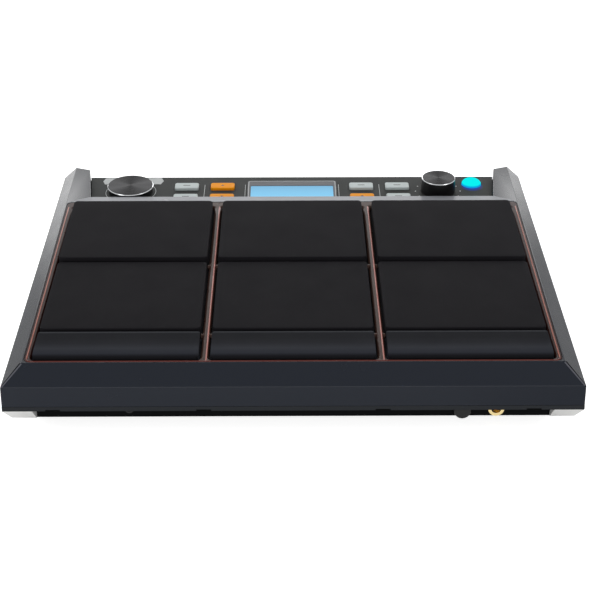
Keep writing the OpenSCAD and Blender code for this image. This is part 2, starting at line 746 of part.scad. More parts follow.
// Sub-deck and what lies on it
module pad_deck() color([0.25, 0.26, 0.27]) difference() {
    on_deck() {
        bar(-subdeck_half, subdeck_half, window_y0 + subdeck_in, field_len + ridge_d / 4,
            subdeck_low, subdeck_z);
        for (s = [-1, 1]) translate([s * col_pitch / 2, 0, 0])
            bar(-led_w / 2, led_w / 2, strip_y0, back_y0 + pad_d, subdeck_z - lap, -frame_t - led_t);
    }
    at_deck_screws() translate([0, 0, subdeck_low - past]) cylinder(r = screw_r + screw_clear, h = 2 * past);
}
module deck_screws() color([0.6, 0.6, 0.62])
    at_deck_screws() translate([0, 0, subdeck_low])
        screw(subdeck_t - subdeck_z - deck_t + deck_screw_bite - screw_tip_gap);
module led_strips() color([0.9, 0.88, 0.8]) on_deck() for (s = [-1, 1])
    translate([s * col_pitch / 2, 0, 0])
        bar(-led_w / 2, led_w / 2, strip_y0, back_y0 + pad_d, -frame_t - led_t, -frame_t);
function pad_middle(row) = row == 2 ? strip_y0 + strip_d / 2 : (row == 1 ? mid_y0 : back_y0) + pad_d / 2;
function pad_depth(row) = row == 2 ? strip_d : pad_d;
module at_pad(col, row) on_deck() translate([(col - 1) * col_pitch, pad_middle(row), 0]) children();
module piezo_sensors() color([0.75, 0.65, 0.3]) for (col = [0:2]) for (row = [0:2])
    at_pad(col, row) translate([0, 0, subdeck_z]) cylinder(r = piezo_r, h = piezo_t);
module pad_dampers() color([0.35, 0.35, 0.37]) for (col = [0:2]) for (row = [0:2]) at_pad(col, row) {
    translate([0, 0, subdeck_z + piezo_t]) cylinder(r = puck_r, h = damper_h - piezo_t);
    x = pad_w / 2 - plate_inset - damper_inset;
    y = max(pad_depth(row) / 2 - plate_inset - damper_inset, 0);
    for (i = [-1, 1]) for (j = y > 0.5 ? [-1, 1] : [0]) translate([i * x, j * y, 0])
        bar(-damper_w / 2, damper_w / 2, -damper_w / 2, damper_w / 2, subdeck_z, plate_z);
}

// Pads
module pad_plate(col, row) color([0.55, 0.56, 0.58]) at_pad(col, row)
    slab([pad_w - 2 * plate_inset, pad_d - 2 * plate_inset], pad_r, plate_z, flange_z);
module flange(d) slab([pad_w + 2 * flange_w, d], pad_r, flange_z, -frame_t);
module pad(col, row) color([0.16, 0.16, 0.17]) at_pad(col, row) {
    top = row == 0 ? back_top : mid_top;
    hull() {
        slab([pad_w, pad_d], pad_r, -frame_t, top - pad_edge);
        slab([pad_w - 2 * edge_in, pad_d - 2 * edge_in], pad_r, -frame_t, top - edge_in);
        slab([pad_w - 2 * pad_edge, pad_d - 2 * pad_edge], pad_r, -frame_t, top);
    }
    flange(pad_d);
}
// A strip pad's section: a long quarter-ellipse nose and a rounded back edge
module strip(col) color([0.17, 0.18, 0.19]) at_pad(col, 2) {
    front = -strip_d / 2;
    back = strip_d / 2;
    nose = [for (i = [0:8]) let (a = 90 * i / 8)
        [front + nose_run * (1 - cos(a)), strip_top - nose_drop * (1 - sin(a))]];
    intersection() {
        along_x(concat([[back, -frame_t - lap], [back, strip_top - pad_edge]],
            [[back - edge_in, strip_top - edge_in], [back - pad_edge, strip_top]],
            [for (i = [8:-1:0]) nose[i]], [[front, -frame_t - lap]]));
        slab([pad_w, strip_d], pad_r, -frame_t, past);
    }
    flange(strip_d);
    slab([pad_w - 2 * plate_inset, strip_d - 2 * plate_inset], pad_r, plate_z, -frame_t);
}
module light_frame() color([0.34, 0.09, 0.09]) on_deck() difference() {
    flared_slab(frame_half, frame_y0, frame_y1, -frame_t, 0);
    for (col = [-1:1]) translate([col * col_pitch, (window_y0 + window_y1) / 2, 0])
        slab([window_w, window_y1 - window_y0], window_r, -frame_t - lap, lap);
}

// Control panel and its pieces
module control_panel() color([0.33, 0.34, 0.34]) difference() {
    union() {
        before(back_y - panel_gap) pocket(panel_gap, panel_gap, seat_z, panel_z);
        on_deck() at_posts() translate([0, 0, board_z]) cylinder(r = post_r, h = seat_z - board_z + lap);
    }
    on_deck() {
        at_buttons() slab([button_w + 2 * button_clear, button_d + 2 * button_clear],
            button_r + button_clear, seat_z - lap, panel_z + lap);
        at(power_at, seat_z - lap) cylinder(r = power_r + button_clear, h = panel_t + 2 * lap);
        at(lcd_at) slab([lcd_w, lcd_d], lcd_r, seat_z - lap, panel_z + lap);
        at(dial_at, seat_z - lap) cylinder(r = bush_r + bush_clear, h = panel_t + 2 * lap);
        at(volume_at, seat_z - lap) cylinder(r = bush_r + bush_clear, h = panel_t + 2 * lap);
    }
}
module at_posts() for (s = [-1, 1]) for (x = post_xs) translate([s * x, post_y, 0]) children();
module panel_board() color([0.1, 0.35, 0.2]) on_deck()
    bar(-panel_board_half, panel_board_half, panel_board_y0, panel_board_y0 + panel_board_d,
        board_z - board_t, board_z);
module switch_body() translate([0, 0, board_z]) {
    bar(-switch_w / 2, switch_w / 2, -switch_w / 2, switch_w / 2, 0, switch_h);
    cylinder(r = plunger_r, h = switch_h + plunger_h);
}
module tact_switches() color([0.2, 0.2, 0.2]) on_deck() {
    at_buttons() switch_body();
    at(power_at) switch_body();
}
module button_stem() bar(-stem_w / 2, stem_w / 2, -stem_w / 2, stem_w / 2, stem_z, seat_z);
module button(i) color(button_colour(i)) on_deck()
    translate([button_cols[(i - 1) % 4], button_rows[i > 4 ? 0 : 1], 0]) {
        hull() {
            slab([button_w, button_d], button_r, seat_z - lap, panel_z + button_h - button_edge);
            slab([button_w - 2 * button_edge, button_d - 2 * button_edge], button_r,
                seat_z - lap, panel_z + button_h);
        }
        slab([button_w + 2 * button_flange, button_d + 2 * button_flange], button_r,
            seat_z - button_flange_t, seat_z);
        button_stem();
    }
function button_colour(i) = i == 2 || i == 6 || i == 7 ? [0.97, 0.62, 0.14] : [0.75, 0.8, 0.8];
module power_button() color([0.1, 0.85, 0.9]) on_deck() at(power_at) {
    rotate_extrude() polygon(concat([[0, seat_z - lap], [power_r, seat_z - lap], [power_r, panel_z]],
        [for (i = [1:6]) [power_r * cos(15 * i), panel_z + power_h * sin(15 * i)]]));
    translate([0, 0, seat_z - button_flange_t])
        cylinder(r = power_r + button_flange, h = button_flange_t);
    button_stem();
}
// A round body on the panel board with a bush that comes up into the panel
module pot_body(at_xy) on_deck() at(at_xy) difference() {
    union() {
        bar(-pot_w / 2, pot_w / 2, -pot_w / 2, pot_w / 2, board_z, board_z + pot_h);
        translate([0, 0, board_z + pot_h - lap])
            cylinder(r = bush_r, h = panel_z - board_z - pot_h + lap);
    }
    translate([0, 0, shaft_foot]) cylinder(r = shaft_r + shaft_clear, h = far);
}
module encoder_body() color([0.3, 0.5, 0.35]) pot_body(dial_at);
module volume_pot() color([0.3, 0.5, 0.35]) pot_body(volume_at);
module shaft_to(at_xy, top) on_deck() at(at_xy, shaft_foot + shaft_lift)
    cylinder(r = shaft_r, h = top - shaft_foot - shaft_lift);
module encoder_shaft() color([0.7, 0.7, 0.72]) shaft_to(dial_at, dial_cap_z - bore_roof);
module volume_shaft() color([0.7, 0.7, 0.72]) shaft_to(volume_at, volume_cap_z - bore_roof);
module knob_body(r0, r1, z1) difference() {
    rotate_extrude()
        polygon([[0, panel_z + knob_gap], [r0, panel_z + knob_gap], [r1, z1], [0, z1]]);
    translate([0, 0, panel_z]) cylinder(r = shaft_r, h = z1 - bore_roof - panel_z);
}
module cap(r, z) rotate_extrude()
    polygon([[0, z], [r, z], [r, z + cap_t - cap_chamfer], [r - cap_chamfer, z + cap_t], [0, z + cap_t]]);
module data_knob() color([0.05, 0.05, 0.05]) on_deck() at(dial_at)
    knob_body(dial_r - cap_chamfer, dial_r - cap_chamfer, dial_cap_z);
module data_knob_cap() color([0.36, 0.36, 0.37]) on_deck() at(dial_at) cap(dial_r, dial_cap_z);
module volume_knob() color([0.05, 0.05, 0.05]) on_deck() at(volume_at)
    knob_body(volume_r + volume_flare, volume_r, volume_cap_z);
module volume_knob_cap() color([0.36, 0.36, 0.37]) on_deck() at(volume_at) cap(volume_r, volume_cap_z);

// Display
module lcd_bezel() color([0.5, 0.52, 0.55]) on_deck() difference() {
    at(bezel_at) slab([2 * bezel_half, bezel_d], bezel_r, panel_z, panel_z + bezel_h);
    at(lcd_at) slab([lcd_w, lcd_d], lcd_r, panel_z - lap, panel_z + bezel_h + lap);
}
module lcd_window() color([0.5, 0.78, 0.92]) on_deck() at(lcd_at)
    slab([lcd_w - 2 * window_clear, lcd_d - 2 * window_clear], lcd_r,
        seat_z, panel_z + bezel_h - window_sink);
module lcd_module() color([0.2, 0.25, 0.22]) on_deck() at(lcd_at)
    bar(-lcd_w / 2 - lcd_module_rim, lcd_w / 2 + lcd_module_rim, -lcd_d / 2, lcd_d / 2 + lcd_module_rim,
        seat_z - lcd_module_t, seat_z);

// Main board with a processor, two converters and a shield can
module main_board() color([0.1, 0.35, 0.2]) at(main_board_at, base_z + floor_t + standoff_h) {
    bar(-main_board_w / 2, main_board_w / 2, -main_board_d / 2, main_board_d / 2, 0, board_t);
    translate([-chip_pitch, 0, board_t]) block(chip_w, chip_w, chip_h);
    for (s = [-1, 1]) translate([0, s * converter_w, board_t]) block(converter_w, converter_w, chip_h);
    translate([chip_pitch, 0, board_t]) block(can_w, can_d, can_h);
}

// Sockets: the panel's outer face is at z = 0 and the mouth looks along +Z
module socket(r, len, ring_r, out, thick, half, below, above) difference() {
    union() {
        translate([0, 0, -thick - lap]) cylinder(r = ring_r, h = thick + lap + out);
        bar(-half, half, -below, above, out - len - socket_end, -thick);
    }
    translate([0, 0, out - len]) cylinder(r = r, h = len + lap);
}
module phones_jack() color([0.85, 0.72, 0.4]) translate([phones_x, bay_y, bay_jack_z]) face_front()
    socket(jack_r, jack_len, jack_bush_r, jack_out, wall, jack_half, bay_below, jack_half);
module aux_jack() color([0.3, 0.3, 0.3]) translate([-aux_x, bay_y, bay_jack_z]) face_front()
    socket(aux_r, aux_len, aux_bush_r, jack_out / 2, wall, aux_half, bay_below, aux_half);
module phones_pot() color([0.3, 0.5, 0.35]) translate([phones_knob_x, bay_y, bay_jack_z]) face_front()
    socket(phones_shaft_r + shaft_clear, wall + aux_half, phones_shaft_r + shaft_clear + bush_wall, 0, wall,
        aux_half, bay_below, aux_half);
module phones_knob() color([0.18, 0.18, 0.19]) translate([phones_knob_x, bay_y, bay_jack_z]) face_front() {
    rotate_extrude() polygon([[0, knob_gap], [phones_knob_r, knob_gap],
        [phones_knob_r, phones_knob_out - cap_chamfer], [phones_knob_r - cap_chamfer, phones_knob_out],
        [0, phones_knob_out]]);
    translate([0, 0, lap - wall - aux_half])
        cylinder(r = phones_shaft_r, h = wall + aux_half + knob_gap);
}
module rear_pair(x) for (s = [-1, 1])
    translate([x + s * rear_pitch / 2, rear_plate_y + rear_plate_t, rear_z]) face_back() children();
module rear_jack() {
    socket(jack_r, jack_len, jack_bush_r, jack_out, rear_plate_t, jack_half, jack_half, jack_half);
    difference() {
        cylinder(r = jack_bush_r + nut_w, h = jack_out - nut_sink, $fn = 6);
        translate([0, 0, -lap]) cylinder(r = (jack_r + jack_bush_r) / 2, h = jack_out + 2 * lap);
    }
}
module line_out_jacks() color([0.6, 0.6, 0.62]) rear_pair(line_out_x) rear_jack();
module trigger_in_jacks() color([0.6, 0.6, 0.62]) rear_pair(trigger_in_x) rear_jack();
module usb_socket() color([0.72, 0.73, 0.75])
    translate([usb_x, rear_plate_y + rear_plate_t, rear_z]) face_back() {
        difference() {
            bar(-usb_w / 2 - usb_wall, usb_w / 2 + usb_wall,
                -usb_h / 2 - usb_wall, usb_h / 2 + usb_wall, -port_len, port_out);
            bar(-usb_w / 2, usb_w / 2, -usb_h / 2, usb_h / 2, -port_bore, port_out + lap);
        }
        bar(-usb_w / 3, usb_w / 3, -usb_h / 5, usb_h / 5, -port_bore - lap, -port_out);
    }
module dc_inlet() color([0.1, 0.1, 0.1])
    translate([dc_x, rear_plate_y + rear_plate_t, rear_z]) face_back() {
        difference() {
            bar(-dc_half, dc_half, -dc_half, dc_half, -port_len, port_out);
            translate([0, 0, -port_bore]) cylinder(r = dc_r, h = port_bore + past);
        }
        translate([0, 0, -port_bore - lap]) cylinder(r = dc_pin_r, h = port_bore);
    }
module rear_plate() color([0.18, 0.18, 0.19]) difference() {
    bar(-rear_plate_w / 2, rear_plate_w / 2, rear_plate_y, rear_plate_y + rear_plate_t,
        rear_z - rear_plate_h / 2, rear_z + rear_plate_h / 2);
    for (x = [line_out_x, trigger_in_x]) rear_pair(x) bush_hole(jack_bush_r + bush_clear);
    usb_hole = 2 * (usb_wall + port_clear);
    dc_hole = 2 * (dc_half + port_clear);
    translate([usb_x, rear_plate_y, rear_z]) cube([usb_w + usb_hole, far, usb_h + usb_hole], center = true);
    translate([dc_x, rear_plate_y, rear_z]) cube([dc_hole, far, dc_hole], center = true);
}

// Every node by its name
top_shell();
bottom_shell();
side_skirts();
rear_plate();
control_panel();
light_frame();
pad_deck();
deck_screws();
pad_dampers();
piezo_sensors();
led_strips();
main_board();
panel_board();
tact_switches();
encoder_body();
volume_pot();
phones_pot();
lcd_module();
lcd_bezel();
lcd_window();
phones_jack();
aux_jack();
line_out_jacks();
trigger_in_jacks();
usb_socket();
dc_inlet();
feet();
case_screws();
stand_inserts();
for (row = [0, 1]) for (col = [0:2]) {
    name = str(ROWS[row], "_", COLS[col]);
    pad(col, row);
    pad_plate(col, row);
}
for (col = [0:2])
    strip(col);
for (i = [1:8])
    button(i);
power_button();
data_knob();
data_knob_cap();
encoder_shaft();
volume_knob();
volume_knob_cap();
volume_shaft();
phones_knob();
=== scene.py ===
import bpy
import bmesh
import json
import math
from mathutils import Matrix, Vector


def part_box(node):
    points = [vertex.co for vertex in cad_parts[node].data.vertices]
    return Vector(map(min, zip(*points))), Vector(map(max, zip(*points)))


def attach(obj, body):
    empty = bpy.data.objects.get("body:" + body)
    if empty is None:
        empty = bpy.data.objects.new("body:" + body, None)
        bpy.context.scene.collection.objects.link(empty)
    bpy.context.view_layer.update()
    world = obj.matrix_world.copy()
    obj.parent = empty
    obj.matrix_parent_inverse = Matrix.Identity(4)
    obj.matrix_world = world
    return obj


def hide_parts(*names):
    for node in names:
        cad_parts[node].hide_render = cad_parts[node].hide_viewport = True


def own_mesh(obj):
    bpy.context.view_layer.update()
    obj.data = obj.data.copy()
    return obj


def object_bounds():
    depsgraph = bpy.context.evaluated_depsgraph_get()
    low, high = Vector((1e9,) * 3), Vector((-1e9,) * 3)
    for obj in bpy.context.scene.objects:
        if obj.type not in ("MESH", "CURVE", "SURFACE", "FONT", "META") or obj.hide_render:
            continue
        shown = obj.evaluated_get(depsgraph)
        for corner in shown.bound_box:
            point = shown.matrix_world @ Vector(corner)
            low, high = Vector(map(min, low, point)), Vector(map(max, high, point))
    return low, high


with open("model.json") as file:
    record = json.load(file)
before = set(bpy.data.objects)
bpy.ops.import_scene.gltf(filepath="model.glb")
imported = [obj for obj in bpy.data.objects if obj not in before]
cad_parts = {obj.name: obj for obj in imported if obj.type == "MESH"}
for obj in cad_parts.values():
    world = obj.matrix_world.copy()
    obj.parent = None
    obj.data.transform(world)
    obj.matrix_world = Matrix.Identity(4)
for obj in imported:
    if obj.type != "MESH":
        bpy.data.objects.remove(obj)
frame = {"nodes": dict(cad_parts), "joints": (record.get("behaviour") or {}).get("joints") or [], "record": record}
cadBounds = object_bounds()
record = frame["record"]
bodyOf = {n: b for b, nodes in record["behaviour"]["bodies"].items() for n in nodes}
slotOf = {s["node"]: s["material_slot"] for s in record["subparts"]}


# the tilted deck: s runs back along it, w stands up from the light frame's face
def deckPlace():
    strike = next(j for j in frame["joints"] if j["name"] == "mid_center_strike")
    up = -Vector(strike["axis"]).normalized()
    back = Vector((0, up.z, -up.y))
    spots = [v.co for v in frame["nodes"]["light_frame"].data.vertices]
    origin = up * max(p.dot(up) for p in spots) + back * min(p.dot(back) for p in spots)
    place = Matrix.Identity(4)
    for row in range(3):
        place[row][1], place[row][2], place[row][3] = back[row], up[row], origin[row]
    return place


deck = deckPlace()
toDeck = deck.inverted()


def deckBox(node):
    spots = [toDeck @ v.co for v in frame["nodes"][node].data.vertices]
    low = Vector([min(p[i] for p in spots) for i in range(3)])
    high = Vector([max(p[i] for p in spots) for i in range(3)])
    return low, high


def middle(box):
    return (box[0] + box[1]) / 2


def frameSides():
    spots = [toDeck @ v.co for v in frame["nodes"]["light_frame"].data.vertices]
    deep = max(p.y for p in spots)
    return deep, max(p.x for p in spots if p.y < deep / 2), max(p.x for p in spots)


frameDeep, frameNear, frameFar = frameSides()


# half the light frame's width at s: it widens a little towards the back
def frameHalf(s):
    return frameNear + (frameFar - frameNear) * s / frameDeep


# colours are written as they look on screen, 0 to 255
def tone(r, g, b):
    def linear(c):
        c /= 255
        return c / 12.92 if c <= 0.04045 else ((c + 0.055) / 1.055) ** 2.4
    return (linear(r), linear(g), linear(b), 1)


# finishes
def shader(mat):
    return mat.node_tree.nodes["Principled BSDF"]


def newFinish(name, colour, **sockets):
    mat = bpy.data.materials.new(name)
    mat.use_nodes = True
    shader(mat).inputs["Base Color"].default_value = colour
    for key, value in sockets.items():
        shader(mat).inputs[key.replace("_", " ")].default_value = value
    return mat


def link(mat, out, into):
    mat.node_tree.links.new(out, into)


def placeNode(mat):
    found = mat.node_tree.nodes.get("place")
    if not found:
        found = mat.node_tree.nodes.new("ShaderNodeTexCoord")
        found.name = "place"
    return found.outputs["Object"]


# the piece's own X, Y or Z
def along(mat, axis):
    split = mat.node_tree.nodes.new("ShaderNodeSeparateXYZ")
    link(mat, placeNode(mat), split.inputs["Vector"])
    return split.outputs[axis]


def noise(mat, scale, detail=3):
    node = mat.node_tree.nodes.new("ShaderNodeTexNoise")
    node.inputs["Scale"].default_value = scale
    node.inputs["Detail"].default_value = detail
    link(mat, placeNode(mat), node.inputs["Vector"])
    return node.outputs["Fac"]


# a value brought from one range to another
def spanned(mat, value, start, end, low=0, high=1):
    span = mat.node_tree.nodes.new("ShaderNodeMapRange")
    for key, number in (("From Min", start), ("From Max", end), ("To Min", low), ("To Max", high)):
        span.inputs[key].default_value = number
    link(mat, value, span.inputs["Value"])
    return span.outputs["Result"]


# a value turned into colours; each stop is a place from 0 to 1 and a colour
def ramped(mat, value, stops):
    ramp = mat.node_tree.nodes.new("ShaderNodeValToRGB")
    marks = ramp.color_ramp.elements
    while len(marks) < len(stops):
        marks.new(0.5)
    for mark, (at, colour) in zip(marks, stops):
        mark.position, mark.color = at, colour
    link(mat, value, ramp.inputs["Fac"])
    return ramp.outputs["Color"]


def addGrain(mat, scale, strength, distance):
    bump = mat.node_tree.nodes.new("ShaderNodeBump")
    bump.inputs["Strength"].default_value = strength
    bump.inputs["Distance"].default_value = distance
    link(mat, noise(mat, scale), bump.inputs["Height"])
    link(mat, bump.outputs["Normal"], shader(mat).inputs["Normal"])
    return mat


def addWear(mat, scale, low, high):
    rough = spanned(mat, noise(mat, scale, 5), 0, 1, low, high)
    link(mat, rough, shader(mat).inputs["Roughness"])
    return mat


def addMottle(mat, scale, dark, light):
    patches = ramped(mat, noise(mat, scale, 4), ((0.35, tone(*dark)), (0.65, tone(*light))))
    link(mat, patches, shader(mat).inputs["Base Color"])
    return mat


# one tone up to a distance from the middle along an axis, and another past it
def addSplit(mat, axis, distance, inner, outer, blur=0.0003):
    size = mat.node_tree.nodes.new("ShaderNodeMath")
    size.operation = "ABSOLUTE"
    link(mat, along(mat, axis), size.inputs[0])
    past = spanned(mat, size.outputs["Value"], distance - blur, distance + blur)
    tones = ramped(mat, past, ((0, tone(*inner)), (1, tone(*outer))))
    link(mat, tones, shader(mat).inputs["Base Color"])
    return mat


# tones that change along an axis, from low to high
def addBands(mat, axis, low, high, paintedShadingBands):
    tones = ramped(mat, spanned(mat, along(mat, axis), low, high), [(at, tone(*c)) for at, c in paintedShadingBands])
    link(mat, tones, shader(mat).inputs["Base Color"])
    return mat


# painted light: emission that falls off round a spot
def addPaintedGlow(mat, at, near, far, colour):
    reach = mat.node_tree.nodes.new("ShaderNodeVectorMath")
    reach.operation = "DISTANCE"
    reach.inputs[1].default_value = at
    link(mat, placeNode(mat), reach.inputs[0])
    fade = spanned(mat, reach.outputs["Value"], near, far)
    light = ramped(mat, fade, ((0, tone(*colour)), (1, tone(0, 0, 0))))
    link(mat, light, shader(mat).inputs["Emission Color"])
    return mat


# a finish from its settings: grain is (scale, strength, depth), wear is (scale, smoothest, roughest)
def madeFinish(name, look, **sockets):
    if "shine" in look:
        sockets["Specular_IOR_Level"] = look["shine"]
    mat = newFinish(name, tone(*look["tone"]), **sockets)
    if "grain" in look:
        addGrain(mat, *look["grain"])
    if "wear" in look:
        addWear(mat, *look["wear"])
    return mat


finishes = {}


def caseFinishes():
    upper = {"tone": (21, 27, 38), "shine": 0.22, "grain": (2600, 0.05, 0.0001), "wear": (40, 0.22, 0.3)}
    lower = {"tone": (15, 16, 17), "rim": (50, 52, 55), "shine": 0.03, "grain": (1800, 0.25, 0.0003),
             "wear": (60, 0.45, 0.6)}
    skirt = {"tone": (238, 238, 236), "shine": 0.4, "grain": (2200, 0.12, 0.0002), "wear": (50, 0.38, 0.5)}
    finishes["case_upper"] = madeFinish("satinCasePlastic", upper)
    base = madeFinish("matteBasePlastic", lower)
    # painted light and shade: the rim above the skirts' top is lighter, and the bay and underside below it darker,
    # as the bay lies in shade
    finishes["case_lower"] = addSplit(base, "Z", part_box("side_skirts")[1].z, lower["tone"], lower["rim"])
    finishes["skirt_plastic"] = madeFinish("paleSkirtPlastic", skirt)


# the panel, with the lit button's glow painted on it as emission, which lies ahead of the button
def panelFinish():
    look = {"tone": (58, 60, 59), "shine": 0.12, "grain": (3000, 0.2, 0.0002), "wear": (70, 0.6, 0.72),
            "glow": (0, 50, 160), "paintedGlowAhead": 0.0044, "paintedGlowNear": 0.0046, "paintedGlowFar": 0.0091}
    at = middle(deckBox("power_button"))
    spot = deck @ Vector((at.x, at.y - look["paintedGlowAhead"], deckBox("control_panel")[1].z))
    mat = madeFinish("greyPanelPlastic", look, Emission_Strength=1)
    finishes["panel"] = addPaintedGlow(mat, spot, look["paintedGlowNear"], look["paintedGlowFar"], look["glow"])


# rubber; the strips carry painted light and shade in bands from front to back over their round top: dark at the
# front nose, lightest just behind it, darker towards the rear, and a painted highlight along the rear edge
def padFinishes():
    rubber = {"shine": 0.06, "grain": (1500, 0.16, 0.0003), "wear": (45, 0.72, 0.84)}
    pad = {"tone": (27, 26, 29), **rubber}
    strip = {"tone": (27, 28, 32), **rubber,
             "paintedShadingBands": ((0, (12, 12, 14)), (0.05, (24, 24, 28)), (0.13, (48, 50, 57)), (0.3, (50, 52, 58)),
                       (0.5, (35, 36, 41)), (0.7, (28, 29, 33)), (0.91, (27, 28, 32)), (0.935, (56, 58, 62)))}
    finishes["pad_rubber"] = madeFinish("paddedRubber", pad)
    low, high = deckBox("strip_center")
    front, rear = ((deck @ Vector((0, s, high.z))).y for s in (low.y, high.y))
    finishes["strip_rubber"] = addBands(madeFinish("stripRubber", strip), "Y", front, rear, strip["paintedShadingBands"])


# smoked bars that carry a red light line. Towards the sides the smoke is painted darker and redder, as in shade;
# the line is one material in painted tones, a pink highlight on the bars between the pads, darker along the sides
# and darkest at the front, with a faint painted glow
def lightBarFinishes():
    smoke = {"tone": (70, 50, 43), "side": (52, 24, 18), "shadedSideFrom": 0.16, "shine": 0.1,
             "wear": (120, 0.24, 0.34)}
    light = {"shine": 0.25, "wear": (160, 0.2, 0.3), "glow": (255, 70, 52), "paintedGlowLevel": 0.03}
    paintedLineTones = {"bar": (192, 130, 120), "side": (164, 102, 86), "front": (76, 33, 26)}
    bar = madeFinish("smokedRedBar", smoke)
    finishes["light_bars"] = addSplit(bar, "X", smoke["shadedSideFrom"], smoke["tone"], smoke["side"])
    for name, colour in paintedLineTones.items():
        finishes[name + "Light"] = madeFinish("redLight" + name.title(), {"tone": colour, **light},
                                              Emission_Strength=light["paintedGlowLevel"],
                                              Emission_Color=tone(*light["glow"]))


def metalFinishes():
    metals = {"steel": ("platedSteel", {"tone": (176, 178, 182), "wear": (90, 0.28, 0.42)}),
              "nickel": ("nickelPlate", {"tone": (196, 198, 200), "wear": (160, 0.14, 0.26)}),
              "gold": ("goldBush", {"tone": (238, 216, 160), "wear": (160, 0.16, 0.28)}),
              "brass_insert": ("brassInsert", {"tone": (196, 158, 88), "wear": (160, 0.25, 0.4)})}
    for slot, (name, look) in metals.items():
        finishes[slot] = madeFinish(name, look, Metallic=1)


# turned metal: fine rings and stretched reflections, with a fan of painted highlights and darker wedges in its
# colour across them, placed in world space so that it stays put as it turns
def spunFinish():
    look = {"metal": (42, 42, 43), "bright": (54, 54, 55), "paintedDark": (31, 31, 32), "spread": 0.07, "rings": 5200,
            "ripple": 2, "smoothest": 0.24, "roughest": 0.36, "stretch": 0.9, "turn": 0.25, "edge": 0.65}
    edge, spread = look["edge"], look["spread"]
    mat = newFinish("spunAluminium", tone(*look["metal"]), Metallic=1, Anisotropic=look["stretch"],
                    Anisotropic_Rotation=look["turn"], Specular_Tint=(edge, edge, edge, 1))
    nodes = mat.node_tree.nodes
    tangent = nodes.new("ShaderNodeTangent")
    tangent.direction_type = "RADIAL"
    tangent.axis = "Z"
    link(mat, tangent.outputs["Tangent"], shader(mat).inputs["Tangent"])
    where, own, apart = (nodes.new("ShaderNode" + k) for k in ("NewGeometry", "ObjectInfo", "VectorMath"))
    apart.operation = "SUBTRACT"
    link(mat, where.outputs["Position"], apart.inputs[0])
    link(mat, own.outputs["Location"], apart.inputs[1])
    around = nodes.new("ShaderNodeTexGradient")
    around.gradient_type = "RADIAL"
    link(mat, apart.outputs["Vector"], around.inputs["Vector"])
    paintedFan = []
    for half in (0, 0.5):
        paintedFan += [(half, "metal"), (half + spread, "bright"), (half + 0.25, "paintedDark"),
                (half + 0.5 - spread, "bright")]
    stops = [(at, tone(*look[key])) for at, key in paintedFan + [(1, "metal")]]
    link(mat, ramped(mat, around.outputs["Fac"], stops), shader(mat).inputs["Base Color"])
    rings = nodes.new("ShaderNodeTexWave")
    rings.wave_type = "RINGS"
    rings.rings_direction = "Z"
    rings.inputs["Scale"].default_value = look["rings"]
    rings.inputs["Distortion"].default_value = look["ripple"]
    link(mat, placeNode(mat), rings.inputs["Vector"])
    rough = spanned(mat, rings.outputs["Fac"], 0, 1, look["smoothest"], look["roughest"])
    link(mat, rough, shader(mat).inputs["Roughness"])
    finishes["spun_aluminium"] = mat


# button plastics let a little light in
def buttonFinishes():
    grey = {"tone": (200, 209, 209), "shine": 0.1, "wear": (200, 0.4, 0.52), "depth": (0.002, 0.002, 0.002)}
    orange = {"tone": (254, 160, 18), "shine": 0.05, "wear": (200, 0.4, 0.52),
              "depth": (0.003, 0.001, 0.0005)}
    letIn = 0.1
    for colour, look in (("grey", grey), ("orange", orange)):
        finishes[colour + "_button"] = madeFinish(colour + "ButtonPlastic", look, Subsurface_Weight=letIn,
                                                  Subsurface_Radius=look["depth"])


# a lit dome: pale cyan on top, deeper blue towards its foot
def litButtonFinish():
    look = {"crown": (12, 241, 240), "crownFrom": 0.5, "foot": (14, 150, 220), "footTo": 0.12,
            "dark": (0, 40, 48), "rough": 0.35, "glow": 1}
    mat = newFinish("litDome", tone(*look["dark"]), Roughness=look["rough"], Emission_Strength=look["glow"],
                    Specular_IOR_Level=0)
    face, split = (mat.node_tree.nodes.new("ShaderNode" + k) for k in ("NewGeometry", "SeparateXYZ"))
    link(mat, face.outputs["Normal"], split.inputs["Vector"])
    stops = (look["footTo"], tone(*look["foot"])), (look["crownFrom"], tone(*look["crown"]))
    link(mat, ramped(mat, split.outputs["Z"], stops), shader(mat).inputs["Emission Color"])
    finishes["lit_button"] = mat


# a lit display: brighter to the front and dimmer towards the back, as painted shade under the bezel, with the
# faint grid of its dots
def displayFinish():
    look = {"near": (138, 215, 253), "far": (122, 184, 222), "glass": (12, 18, 22), "rough": 0.4,
            "shine": 0.03, "glow": 0.98, "dots": 1250, "dotTint": (0.93, 0.93, 0.94, 1)}
    low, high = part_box("lcd_window")
    mat = newFinish("litDisplay", tone(*look["glass"]), Roughness=look["rough"],
                    Emission_Strength=look["glow"], Specular_IOR_Level=look["shine"])
    nodes = mat.node_tree.nodes
    stops = (0, tone(*look["near"])), (1, tone(*look["far"]))
    lit = ramped(mat, spanned(mat, along(mat, "Y"), low.y, high.y), stops)
    grid = nodes.new("ShaderNodeTexChecker")
    grid.inputs["Scale"].default_value = look["dots"]
    grid.inputs["Color1"].default_value = (1, 1, 1, 1)
    grid.inputs["Color2"].default_value = look["dotTint"]
    link(mat, placeNode(mat), grid.inputs["Vector"])
    mix = nodes.new("ShaderNodeMix")
    mix.data_type = "RGBA"
    mix.blend_type = "MULTIPLY"
    mix.inputs["Factor"].default_value = 1
    link(mat, lit, mix.inputs["A"])
    link(mat, grid.outputs["Color"], mix.inputs["B"])
    link(mat, mix.outputs["Result"], shader(mat).inputs["Emission Color"])
    finishes["display_glass"] = mat


